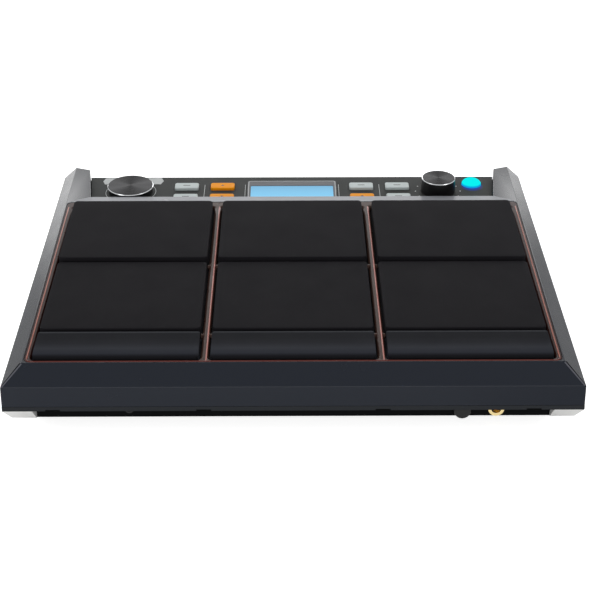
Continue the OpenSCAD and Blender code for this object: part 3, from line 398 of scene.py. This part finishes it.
def smallFinishes():
    bezel = {"tone": (98, 100, 104), "shine": 0.12, "grain": (2600, 0.15, 0.0002), "wear": (80, 0.4, 0.5)}
    black = {"tone": (14, 14, 15), "shine": 0.32, "grain": (2200, 0.15, 0.0002), "wear": (90, 0.34, 0.46)}
    foot = {"tone": (24, 24, 24), "shine": 0.2, "grain": (1600, 0.3, 0.0004), "wear": (70, 0.75, 0.88)}
    pot = {"tone": (70, 110, 84), "shine": 0.4, "wear": (140, 0.4, 0.55)}
    for slot, name, look in (("bezel", "bezelPlastic", bezel), ("black_plastic", "blackPlastic", black),
                             ("foot_rubber", "footRubber", foot), ("pot_body", "potBody", pot)):
        finishes[slot] = madeFinish(name, look)


# finishes in two mixed tones
def mottledFinishes():
    foam = {"tone": (70, 70, 72), "mottle": (900, (52, 52, 54), (84, 84, 86)), "rough": 0.95, "metal": 0}
    piezo = {"tone": (200, 170, 96), "mottle": (500, (186, 156, 84), (212, 184, 112)), "rough": 0.35,
             "metal": 1}
    strip = {"tone": (232, 226, 204), "mottle": (300, (226, 218, 192), (238, 233, 216)), "rough": 0.5,
             "metal": 0}
    board = {"tone": (24, 88, 52), "mottle": (700, (18, 74, 42), (32, 100, 62)), "rough": 0.4, "metal": 0}
    for slot, name, look in (("foam", "foam", foam), ("piezo", "piezoBrass", piezo),
                             ("light_strip", "lightStrip", strip), ("board", "circuitBoard", board)):
        mat = madeFinish(name, look, Roughness=look["rough"], Metallic=look["metal"])
        finishes[slot] = addMottle(mat, *look["mottle"])


def madeInk(name, colour):
    return madeFinish(name, {"tone": colour, "wear": (300, 0.45, 0.55)})


for maker in (caseFinishes, panelFinish, padFinishes, lightBarFinishes, metalFinishes, spunFinish,
              buttonFinishes, litButtonFinish, displayFinish, smallFinishes, mottledFinishes):
    maker()
inkLight = madeInk("paleInk", (206, 208, 208))
inkDark = madeInk("darkInk", (44, 44, 46))
inkBand = madeInk("greyInk", (176, 180, 180))
print("finishes made:", len(finishes))


# makers for the pieces
def newPiece(name, verts, faces):
    mesh = bpy.data.meshes.new(name)
    mesh.from_pydata([tuple(v) for v in verts], [], faces)
    mesh.update()
    piece = bpy.data.objects.new(name, mesh)
    bpy.context.scene.collection.objects.link(piece)
    return piece


def smoothed(piece, angle=35):
    mesh = piece.data
    for face in mesh.polygons:
        face.use_smooth = True
    mesh.set_sharp_from_angle(angle=math.radians(angle))
    return piece


def applied(piece):
    bpy.context.view_layer.update()
    solid = piece.evaluated_get(bpy.context.evaluated_depsgraph_get())
    mesh = bpy.data.meshes.new_from_object(solid)
    piece.modifiers.clear()
    piece.data = mesh
    return piece


def takesFinish(piece, slot):
    piece.data.materials.clear()
    piece.data.materials.append(finishes[slot])
    return piece


def putOn(piece, node):
    takesFinish(piece, slotOf[node])
    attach(piece, bodyOf[node])
    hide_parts(node)
    return piece


# a piece that stands in for no node
def addOn(piece, mat, slot, body="case"):
    piece.data.materials.append(mat)
    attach(piece, body)
    return piece


# the node's own solid, welded, with its flat faces whole again
def bareCopy(node, place):
    weld, flat = 1e-6, math.radians(0.4)
    bm = bmesh.new()
    bm.from_mesh(frame["nodes"][node].data)
    bmesh.ops.transform(bm, matrix=place.inverted(), verts=bm.verts)
    bmesh.ops.remove_doubles(bm, verts=bm.verts, dist=weld)
    bmesh.ops.dissolve_limit(bm, angle_limit=flat, verts=bm.verts, edges=bm.edges)
    bm.verts.index_update()
    verts = [v.co.copy() for v in bm.verts]
    faces = [[v.index for v in f.verts] for f in bm.faces]
    bm.free()
    piece = newPiece(node + "Look", verts, faces)
    piece.matrix_world = place
    return piece


# the node's solid with softened edges; share, where given, scales the radius at each edge
def dressed(node, radius, segments=3, angle=30, share=None, place=Matrix.Identity(4), smooth=35):
    piece = bareCopy(node, place)
    soft = piece.modifiers.new("soft", "BEVEL")
    soft.width = radius
    soft.segments = segments
    soft.use_clamp_overlap = share is None
    if share is None:
        soft.limit_method = "ANGLE"
        soft.angle_limit = math.radians(angle)
    else:
        soft.limit_method = "WEIGHT"
        weighEdges(piece, angle, share)
    applied(piece)
    smoothed(piece, smooth)
    even = piece.modifiers.new("even", "WEIGHTED_NORMAL")
    even.keep_sharp = True
    applied(piece)
    return putOn(piece, node)


def weighEdges(piece, angle, share):
    bm = bmesh.new()
    bm.from_mesh(piece.data)
    layer = bm.edges.layers.float.new("bevel_weight_edge")
    for edge in bm.edges:
        if len(edge.link_faces) == 2 and edge.calc_face_angle(0) > math.radians(angle):
            edge[layer] = share(piece.matrix_world @ ((edge.verts[0].co + edge.verts[1].co) / 2))
    bm.to_mesh(piece.data)
    bm.free()


# outline of a rounded rectangle, anticlockwise from the right-hand front corner
def roundedLoop(low, high, radius, steps=5):
    spots = []
    left, right, front, rear = low[0] + radius, high[0] - radius, low[1] + radius, high[1] - radius
    for cx, cy, start in ((right, front, -90), (right, rear, 0), (left, rear, 90), (left, front, 180)):
        for i in range(steps + 1):
            a = math.radians(start + 90 * i / steps)
            spots.append((cx + radius * math.cos(a), cy + radius * math.sin(a)))
    return spots


# skin over loops that share one point count: capped at both ends, or closed into a ring
def skinOver(loops, ring=False):
    count = len(loops[0])
    verts = [v for loop in loops for v in loop]
    faces = []
    for k in range(len(loops) if ring else len(loops) - 1):
        a, b = k * count, (k + 1) % len(loops) * count
        for i in range(count):
            j = (i + 1) % count
            faces.append([a + i, a + j, b + j, b + i])
    if not ring:
        faces.append(list(range(count - 1, -1, -1)))
        faces.append([len(verts) - count + i for i in range(count)])
    return verts, faces


def joinShapes(shapes):
    verts, faces = [], []
    for v, f in shapes:
        start = len(verts)
        verts += v
        faces += [[start + i for i in face] for face in f]
    return verts, faces


# flat ink or inlay on the deck's planes: an outline with a thin body under it
def inlay(name, outline, level, thick, mat, slot, body="case"):
    loops = [[deck @ Vector((x, s, level + w)) for x, s in outline] for w in (-thick, thick)]
    return addOn(newPiece(name, *skinOver(loops)), mat, slot, body)


def ringOutline(at, radius, steps=64):
    turns = [2 * math.pi * i / steps for i in range(steps)]
    return [(at[0] + radius * math.cos(a), at[1] + radius * math.sin(a)) for a in turns]


# a thin flat ring between two outlines of one point count
def ringShape(inner, outer, low, high):
    loops = []
    for outline, w in ((inner, low), (outer, low), (outer, high), (inner, high)):
        loops.append([deck @ Vector((x, s, w)) for x, s in outline])
    return skinOver(loops, ring=True)


# upper case: crisp breaks, a fine line along the narrow edge round the light frame
def dressCase():
    look = {"break": 0.00045, "edge": 0.32, "peak": 0.6, "margin": 0.0014, "depth": 0.004, "lower": 0.0004,
            "skirt": 0.0006, "rear": 0.0003}

    def share(point):
        p, margin = toDeck @ point, look["margin"]
        half = frameHalf(p.y)
        atFrame = abs(p.x) < half + margin and -margin < p.y < frameDeep + margin
        if atFrame and abs(p.z) < look["depth"]:
            return look["peak"] if abs(abs(p.x) - half) < margin else look["edge"]
        return 1
    dressed("top_shell", look["break"], share=share, angle=20)
    dressed("bottom_shell", look["lower"], segments=2)
    dressed("side_skirts", look["skirt"])
    dressed("rear_plate", look["rear"], segments=2)
    edgeMitres()
    paintRidge()
    print("case dressed")


# fine lines down the two front mitres: a painted highlight on the brow and painted shade on the bevel, in place of
# the light and shade on a rounded edge
def edgeMitres():
    matte = {"shine": 0, "wear": (60, 0.5, 0.6)}
    look = {"bright": {"tone": (100, 101, 108), "wide": 0.001, "tip": 0.8, **matte},
            "shade": {"tone": (30, 30, 33), "wide": 0.0025, "tip": 0.5, **matte},
            "proud": 0.00004, "edge": 0.0009, "near": 0.0005, "from": 0.02, "to": 0.97}
    spots = [v.co for v in frame["nodes"]["top_shell"].data.vertices]
    front, widest = cadBounds[0][1], cadBounds[1][0]
    finish = {k: madeFinish(k + "Mitre", look[k]) for k in ("bright", "shade")}
    for side in (-1, 1):
        corner = deck @ Vector((side * (frameHalf(0) + look["edge"]), -look["edge"], 0))
        peak = min(spots, key=lambda p: (p - corner).length)
        outer = [p for p in spots if p.y < front + look["near"] and side * p.x > widest - look["near"]]
        lip = max(outer, key=lambda p: p.z)
        run = (lip - peak).normalized()
        top, foot = peak.lerp(lip, look["from"]), peak.lerp(lip, look["to"])
        ways = {"bright": Vector((-side, 0, 0)), "shade": deck.to_3x3() @ Vector((0, 1, 0))}
        for key, across in ways.items():
            up = run.cross(across).normalized()
            up = up if up.z > 0 else -up
            inward = (across - run * across.dot(run)).normalized() * look[key]["wide"]
            outline = top, foot, foot + inward * look[key]["tip"], top + inward
            loops = [[p + up * lift for p in outline] for lift in (-look["proud"], look["proud"])]
            addOn(newPiece(key + "Mitre", *skinOver(loops)), finish[key], "case_upper")


# paint on the facet behind the pads: lighter, and with less shine than the case round it; the lighter tone is
# partly paint and partly a painted reflection, standing in for the bright sheen the facet shows
def paintRidge():
    look = {"tone": (140, 142, 147), "shine": 0.02, "grain": (2600, 0.05, 0.0001), "wear": (40, 0.22, 0.3),
            "inset": 0.0005, "proud": 0.00004, "upright": 0.9, "flat": 0.9999}
    mesh, pocket = frame["nodes"]["top_shell"].data, deckBox("control_panel")[0].y
    facets = [f for f in mesh.polygons
              if f.normal.z > look["upright"] and frameDeep < (toDeck @ f.center).y < pocket]
    up = max(facets, key=lambda f: f.area).normal.copy()
    ridge = [f for f in facets if f.normal.dot(up) > look["flat"]]
    spots = [toDeck @ mesh.vertices[i].co for f in ridge for i in f.vertices]
    ends = []
    for row in (min(p.y for p in spots), max(p.y for p in spots)):
        ends.append(max((p for p in spots if abs(p.y - row) < look["inset"]), key=lambda p: p.x))
    share = look["inset"] / (ends[1] - ends[0]).length
    front, back = (a.lerp(b, share) - Vector((look["inset"], 0, 0)) for a, b in (ends, ends[::-1]))
    corners = (-1, front), (1, front), (1, back), (-1, back)
    outline = [deck @ Vector((side * p.x, p.y, p.z)) for side, p in corners]
    loops = [[p + up * lift for p in outline] for lift in (-look["proud"], look["proud"])]
    addOn(newPiece("ridgeBand", *skinOver(loops)), madeFinish("ridgePaintAndReflection", look), "case_upper")


# rubber pads: rounded rim, slightly crowned face, the flanges that hold them under the frame
def dressPads():
    look = {"rim": 0.0006, "corner": 0.003, "crown": 0.00035, "flange": 0.0025, "strip": 0.0009,
            "tightest": 0.0004, "rimSteps": 5, "rings": (0.003, 0.007, 0.014, 0.024, 0.036)}
    for node in sorted(n for n in slotOf if slotOf[n] == "pad_rubber"):
        low, high = deckBox(node)
        frameLow, flange = deckBox("light_frame")[0], look["flange"]
        inner = (low.x + flange, low.y), (high.x - flange, high.y)
        half = (high.y - low.y) / 2
        steps = [(0, frameLow.z), (0, high.z - look["rim"])]
        for i in range(1, look["rimSteps"] + 1):
            a = math.radians(90 * i / look["rimSteps"])
            steps.append((look["rim"] * (1 - math.cos(a)), high.z - look["rim"] * (1 - math.sin(a))))
        for inset in look["rings"]:
            steps.append((inset, high.z + look["crown"] * (1 - ((half - inset) / half) ** 2)))
        loops = []
        for inset, w in steps:
            radius = max(look["corner"] - inset, look["tightest"])
            outline = roundedLoop((inner[0][0] + inset, inner[0][1] + inset),
                                  (inner[1][0] - inset, inner[1][1] - inset), radius)
            loops.append([deck @ Vector((x, s, w)) for x, s in outline])
        lower = [[deck @ Vector((x, s, w)) for x, s in roundedLoop(low.xy, high.xy, look["corner"])]
                 for w in (low.z, frameLow.z)]
        piece = newPiece(node + "Look", *joinShapes([skinOver(lower), skinOver(loops)]))
        putOn(smoothed(piece, 40), node)
    for side in ("left", "center", "right"):
        dressed("strip_" + side, look["strip"], angle=35, smooth=40)
    print("pads dressed")


# foam dampers, one group under each pad, each with a mesh of its own
def softenDampers():
    mesh = frame["nodes"]["pad_dampers"].data
    spots = [toDeck @ v.co for v in mesh.vertices]
    for joint in (j for j in frame["joints"] if j["name"].endswith("_strike")):
        place = joint["name"][:-len("_strike")]
        low, high = deckBox(place if place.startswith("strip") else "pad_" + place)
        picked = [i for i, p in enumerate(spots) if low.x < p.x < high.x and low.y < p.y < high.y]
        number = {old: new for new, old in enumerate(picked)}
        under = [f.vertices for f in mesh.polygons if all(i in number for i in f.vertices)]
        faces = [[number[i] for i in corners] for corners in under]
        piece = newPiece(place + "Dampers", [mesh.vertices[i].co for i in picked], faces)
        putOn(smoothed(piece), "pad_dampers")
        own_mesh(piece)
    print("dampers softened")


# a half-round cord laid along a path on the deck
def cordOver(path, radius, level, steps=8):
    turns = [math.pi * (1 - j / steps) for j in range(steps + 1)]
    section = [(1, -1), (-1, -1)] + [(math.cos(a), math.sin(a)) for a in turns]
    loops = []
    for i, spot in enumerate(path):
        ahead = Vector(path[min(i + 1, len(path) - 1)]) - Vector(path[max(i - 1, 0)])
        side = Vector((ahead.y, -ahead.x)).normalized()
        loop = []
        for k, h in section:
            x, s = spot[0] + side.x * radius * k, spot[1] + side.y * radius * k
            loop.append(deck @ Vector((x, s, level + radius * h)))
        loops.append(loop)
    return skinOver(loops)


def bend(at, radius, start, end, steps=8):
    turns = [math.radians(start + (end - start) * i / steps) for i in range(steps + 1)]
    return [(at[0] + radius * math.cos(a), at[1] + radius * math.sin(a)) for a in turns]


def layLight(name, shapes, finish):
    addOn(smoothed(newPiece(name, *joinShapes(shapes)), 60), finishes[finish], "light_bars")


# light frame: smoked bars with rounded tops, slimmer along the front, and the red line they carry, laid partly as
# a painted highlight
def dressLightFrame():
    look = {"round": 0.0024, "front": 0.2, "outer": 0.35, "frontReach": 0.0012, "blend": 0.005, "rim": 0.0013,
            "face": 0.001, "lineR": 0.00065, "lineDrop": 0.0005, "lineOut": 0.0011, "sideOut": 0.0018,
            "sideLineR": 0.0005, "sideDrop": 0.0002, "frontLineR": 0.0007, "frontDrop": 0.0003,
            "frontIn": 0.0006, "cornerR": 0.003, "cuspR": 0.002, "cuspReach": 0.0036, "cuspDrop": 0.0022,
            "cuspBehind": 0.00125}

    def share(point):
        p = toDeck @ point
        if p.z < -look["face"]:
            return 0
        atRim = abs(p.x) > frameHalf(p.y) - look["rim"] or p.y > frameDeep - look["rim"]
        t = min(max((p.y - look["frontReach"]) / look["blend"], 0), 1)
        return look["front"] + ((look["outer"] if atRim else 1) - look["front"]) * t
    dressed("light_frame", look["round"], segments=6, angle=35, share=share, smooth=50)
    padBox = deckBox("pad_mid_center")
    pitch = middle(deckBox("pad_mid_right")).x - middle(padBox).x
    backEnd = deckBox("pad_back_center")[1].y
    front, r = look["frontIn"], look["cornerR"]
    near, far = (frameHalf(s) - look["sideOut"] for s in (front + r, backEnd))  # follows the widening frame
    across = bend((r - near, front + r), r, 180, 270) + bend((near - r, front + r), r, 270, 360)
    layLight("frontLine", [cordOver(across, look["frontLineR"], -look["frontDrop"])], "frontLight")
    sides, bars = [], []
    for side in (-1, 1):
        route = [(side * near, front + r), (side * far, backEnd)]
        sides.append(cordOver(route, look["sideLineR"], -look["sideDrop"]))
        # on both bars the line lies off to the right of the middle, where the highlight falls: partly a painted
        # highlight
        x = side * pitch / 2 + look["lineOut"]
        bars.append(cordOver([(x, front), (x, backEnd)], look["lineR"], -look["lineDrop"]))
    layLight("sideLines", sides, "sideLight")
    layLight("barLines", bars, "barLight")
    cusps = []
    for node in ("pad_mid_center", "strip_center"):
        row = deckBox(node)[1].y + look["cuspBehind"]
        for x in (-pitch / 2, pitch / 2):
            route = [(x - look["cuspReach"], row), (x + look["cuspReach"], row)]
            cusps.append(cordOver(route, look["cuspR"], -look["cuspDrop"]))
    layLight("barCusps", cusps, "light_bars")
    print("light frame dressed")


# panel, display, buttons and knobs: softened edges
def dressControls():
    look = {"panel": 0.00025, "bezel": 0.0005, "window": 0.0002, "button": 0.00035, "dome": 0.0002,
            "knob": 0.0003, "cap": 0.00015}
    dressed("control_panel", look["panel"], segments=2)
    dressed("lcd_bezel", look["bezel"])
    dressed("lcd_window", look["window"], segments=2)
    for i in range(1, 9):
        dressed("button_%d" % i, look["button"])
    dressed("power_button", look["dome"], segments=2, smooth=40)
    dressed("phones_knob", look["knob"], segments=2)
    for node in ("data_knob", "volume_knob"):
        dressed(node, look["knob"], segments=2, place=knobPlace(node))
    for node in ("data_knob_cap", "volume_knob_cap"):
        dressed(node, look["cap"], segments=2, place=knobPlace(node))
        cutEdge(node)
    print("controls dressed")


# bright cut edge round a knob's metal top
def cutEdge(node):
    look = {"chamfer": 0.0007, "wide": 0.0005, "proud": 0.00003, "thick": 0.0002, "steps": 96}
    low, high = deckBox(node)
    at, radius = middle((low, high)), (high.x - low.x) / 2
    loops = []
    foot = high.z - look["chamfer"]
    for r, w in ((radius, foot), (radius - look["wide"], foot + look["wide"])):
        outline = ringOutline(at, r + look["proud"], look["steps"])
        loops.append([deck @ Vector((x, s, w + look["proud"])) for x, s in outline])
    down = deck.to_3x3() @ Vector((0, 0, -look["thick"]))
    for loop in (1, 0):
        loops.append([v + down for v in loops[loop]])
    ring = smoothed(newPiece(node + "Edge", *skinOver(loops, ring=True)), 30)
    addOn(ring, finishes["nickel"], "nickel", bodyOf[node])


# a turned piece keeps its own axis as local Z, so that its rings run round it
def knobPlace(node):
    at = middle(deckBox(node))
    return deck @ Matrix.Translation(at)


def dressSockets():
    look = {"socket": 0.00025, "foot": 0.001}
    for node in ("phones_jack", "aux_jack", "line_out_jacks", "trigger_in_jacks", "usb_socket", "dc_inlet"):
        dressed(node, look["socket"], segments=2)
    dressed("feet", look["foot"])
    print("sockets and feet dressed")


def printRing(name, inner, outer, level, thick, slot="panel"):
    addOn(newPiece(name, *ringShape(inner, outer, level - thick, level + thick)), inkBand, slot)


# printed marks on the panel
def printPanel():
    look = {"thick": 0.00004, "lineW": 0.0004, "lineIn": 0.0018, "lineOver": 0.005, "lineRound": 0.00016,
            "dotR": 0.0006, "dots": 11, "dotReach": 0.0042, "dotSweep": 300, "ringW": 0.0004,
            "ringOut": 0.0019, "bandLeft": 0.0241, "bandRight": 0.0247, "bandD": 0.0115, "bandBack": 0.0195,
            "bandTip": 0.002, "rimIn": 0.0006, "rimW": 0.0006, "rimR": 0.003}
    bezel, thick = deckBox("lcd_bezel"), look["thick"]
    panelHigh = bezel[0].z
    inner, outer = middle(deckBox("button_3")).x, middle(deckBox("button_4")).x
    rows = middle(deckBox("button_5")).y, middle(deckBox("button_1")).y
    half, over = look["lineW"] / 2, look["lineOver"]
    for side in (-1, 1):
        for x in ((inner + outer) / 2, bezel[1].x + look["lineIn"]):
            outline = roundedLoop((side * x - half, rows[0] - over), (side * x + half, rows[1] + over),
                                  look["lineRound"], 2)
            inlay("panelLine", outline, panelHigh, thick, inkBand, "panel")
    knob = middle(deckBox("volume_knob"))
    reach = deckBox("volume_knob")[1].x - knob.x + look["dotReach"]
    for i in range(look["dots"]):
        a = math.radians(look["dotSweep"] * (i / (look["dots"] - 1) - 0.5))
        at = knob.x + reach * math.sin(a), knob.y + reach * math.cos(a)
        inlay("volumeDot", ringOutline(at, look["dotR"], 16), panelHigh, thick, inkLight, "panel")
    dial = middle(deckBox("data_knob"))
    radius = deckBox("data_knob_cap")[1].x - dial.x + look["ringOut"]
    rings = [ringOutline(dial, r) for r in (radius - look["ringW"], radius)]
    printRing("dialRing", *rings, panelHigh, thick)
    low, high = bezel
    rims = []
    for gap in (look["rimIn"] + look["rimW"], look["rimIn"]):
        rims.append(roundedLoop((low.x + gap, low.y + gap), (high.x - gap, high.y - gap), look["rimR"] - gap))
    printRing("bezelRim", *rims, high.z, thick, slot="bezel")
    back, tip, deep = dial.y + look["bandBack"], look["bandTip"], look["bandD"]
    left, right = dial.x - look["bandLeft"], dial.x + look["bandRight"]
    band = [(left, back), (left + tip, back - deep / 2), (right - tip, back - deep / 2),
            (right, back), (right - tip, back + deep / 2), (left + tip, back + deep / 2)]
    inlay("dialBand", band, panelHigh, thick * 2, inkBand, "panel")
    print("panel printed")


# plain marks on the buttons: arrows on the orange ones, a short bar on the grey ones
def markButtons():
    look = {"thick": 0.00004, "arrow": 0.0013, "arrowFoot": 0.6, "arrowTip": 0.9, "barW": 0.0028,
            "barD": 0.0004, "barRound": 0.8}
    points = {2: 1, 6: -1, 7: 1}  # which way each arrow points
    for i in range(1, 9):
        node = "button_%d" % i
        box = deckBox(node)
        at = middle(box)
        if i in points:
            a = look["arrow"] * points[i]
            foot, tip = at.y - look["arrowFoot"] * a, at.y + look["arrowTip"] * a
            outline = [(at.x - a, foot), (at.x + a, foot), (at.x, tip)]
        else:
            half = Vector((look["barW"], look["barD"]))
            outline = roundedLoop(at.xy - half, at.xy + half, look["barD"] * look["barRound"], 2)
        inlay("buttonMark%d" % i, outline, box[1].z, look["thick"], inkDark, slotOf[node], bodyOf[node])
    print("buttons marked")


dressCase()
dressPads()
softenDampers()
dressLightFrame()
dressControls()
dressSockets()
printPanel()
markButtons()

# nodes that keep their own mesh take their slot's finish
for name, node in frame["nodes"].items():
    node.data.materials.clear()
    node.data.materials.append(finishes[slotOf[name]])
print("inner pieces finished")


# how bright the background looks: to straight rays and through glass, and by way of a reflection
def backgroundRays(tree, glossy, straight, other=0):
    path = tree.nodes.new("ShaderNodeLightPath")
    level = other
    kinds = {"Is Glossy Ray": glossy, "Is Transmission Ray": straight, "Is Camera Ray": straight}
    for kind, value in kinds.items():
        pick = tree.nodes.new("ShaderNodeMix")
        pick.data_type = "FLOAT"
        pick.inputs["B"].default_value = value
        pick.label = kind
        if kind == "Is Glossy Ray":
            pick.inputs["A"].default_value = level
        else:
            tree.links.new(level, pick.inputs["A"])
        tree.links.new(path.outputs[kind], pick.inputs["Factor"])
        level = pick.outputs["Result"]
    return level


# floor and backdrop: one white sweep
def makeStage():
    look = {"wide": 6, "front": -4, "turn": 2.2, "bend": 0.8, "tall": 3.2, "under": 0.0002, "shadow": 0.83,
            "glossyNear": 0.7, "glossyFar": 0.02, "glossyRight": 0.2, "fadeBack": (-0.1, 0.4),
            "fadeRight": (0.1, 0.26), "bendSteps": 12, "paper": (0.92, 0.92, 0.92, 1), "rough": 0.9,
            "shine": 0.1}
    profile = [(look["front"], 0), (look["turn"], 0)]
    for i in range(1, look["bendSteps"] + 1):
        a = math.radians(90 * i / look["bendSteps"])
        profile.append((look["turn"] + look["bend"] * math.sin(a), look["bend"] * (1 - math.cos(a))))
    profile.append((look["turn"] + look["bend"], look["tall"]))
    verts = [(side * look["wide"] / 2, y, z - look["under"]) for y, z in profile for side in (-1, 1)]
    faces = [[2 * i, 2 * i + 1, 2 * i + 3, 2 * i + 2] for i in range(len(profile) - 1)]
    sweep = smoothed(newPiece("whiteSweep", verts, faces), 60)
    mat = newFinish("whiteSweepPaper", look["paper"], Roughness=look["rough"],
                    Specular_IOR_Level=look["shine"], Emission_Color=(1, 1, 1, 1))
    level = backgroundRays(mat.node_tree, look["glossyNear"], look["shadow"])
    link(mat, level, shader(mat).inputs["Emission Strength"])
    both = mat.node_tree.nodes.new("ShaderNodeMath")  # what is mirrored fades to the back and to the right
    both.operation = "MULTIPLY"
    back = spanned(mat, along(mat, "Y"), *look["fadeBack"], look["glossyNear"], look["glossyFar"])
    right = spanned(mat, along(mat, "X"), *look["fadeRight"], 1, look["glossyRight"])
    link(mat, back, both.inputs[0])
    link(mat, right, both.inputs[1])
    mirror = next(n for n in mat.node_tree.nodes if n.label == "Is Glossy Ray")
    link(mat, both.outputs["Value"], mirror.inputs["B"])
    sweep.data.materials.append(mat)


# an even sky, a wide box behind, one in front and two small keys
def makeLight():
    look = {"sky": 0.5, "mirrored": 0.92}
    lamps = {"backBox": {"at": (-0.05, 1.5, 0.66), "aim": (-0.05, 0, 0.66), "size": (2, 1.28), "power": 20},
             "frontBox": {"at": (0, -2, 0.35), "aim": (0, 0, 0.05), "size": (2, 0.6), "power": 9},
             "leftKey": {"at": (-0.95, -0.45, 1.2), "aim": (0, 0, 0.04), "size": (0.45, 0.45), "power": 1.3},
             "rightKey": {"at": (0.95, -0.45, 1.2), "aim": (0, 0, 0.04), "size": (0.45, 0.45), "power": 1.3}}
    world = bpy.data.worlds.new("studio")
    bpy.context.scene.world = world
    world.use_nodes = True
    nodes, links = world.node_tree.nodes, world.node_tree.links
    sky = nodes["Background"]
    sky.inputs["Color"].default_value = (1, 1, 1, 1)
    links.new(backgroundRays(world.node_tree, look["mirrored"], 1, look["sky"]), sky.inputs["Strength"])
    for name, box in lamps.items():
        lamp = bpy.data.lights.new(name, "AREA")
        lamp.shape = "RECTANGLE"
        lamp.size, lamp.size_y = box["size"]
        lamp.energy = box["power"]
        holder = bpy.data.objects.new(name, lamp)
        holder.location = box["at"]
        ahead = Vector(box["aim"]) - Vector(box["at"])
        holder.rotation_euler = ahead.to_track_quat("-Z", "Y").to_euler()
        holder.visible_camera = False
        bpy.context.scene.collection.objects.link(holder)


def makeCamera():
    look = {"aim": (0.001561, -0.041091, 0.05), "lift": 23.358, "yaw": -0.253, "roll": -0.081, "far": 0.99049,
            "lens": 86.77, "sensor": 36}
    lift, yaw, roll = (math.radians(look[k]) for k in ("lift", "yaw", "roll"))
    back = Vector((math.sin(yaw) * math.cos(lift), -math.cos(yaw) * math.cos(lift), math.sin(lift)))
    right = Vector((math.cos(yaw), math.sin(yaw), 0))
    up = back.cross(right)
    turned = right * math.cos(roll) + up * math.sin(roll)
    upright = up * math.cos(roll) - right * math.sin(roll)
    place = Matrix.Identity(4)
    spot = Vector(look["aim"]) + back * look["far"]
    for column, way in enumerate((turned, upright, back, spot)):
        for row in range(3):
            place[row][column] = way[row]
    camera = bpy.data.cameras.new("camera")
    camera.sensor_fit = "VERTICAL"
    camera.sensor_height = look["sensor"]
    camera.lens = look["lens"]
    holder = bpy.data.objects.new("camera", camera)
    holder.matrix_world = place
    bpy.context.scene.collection.objects.link(holder)
    bpy.context.scene.camera = holder


makeStage()
makeLight()
makeCamera()
bpy.context.scene.view_settings.view_transform = "Standard"
print("stage, light and camera set")
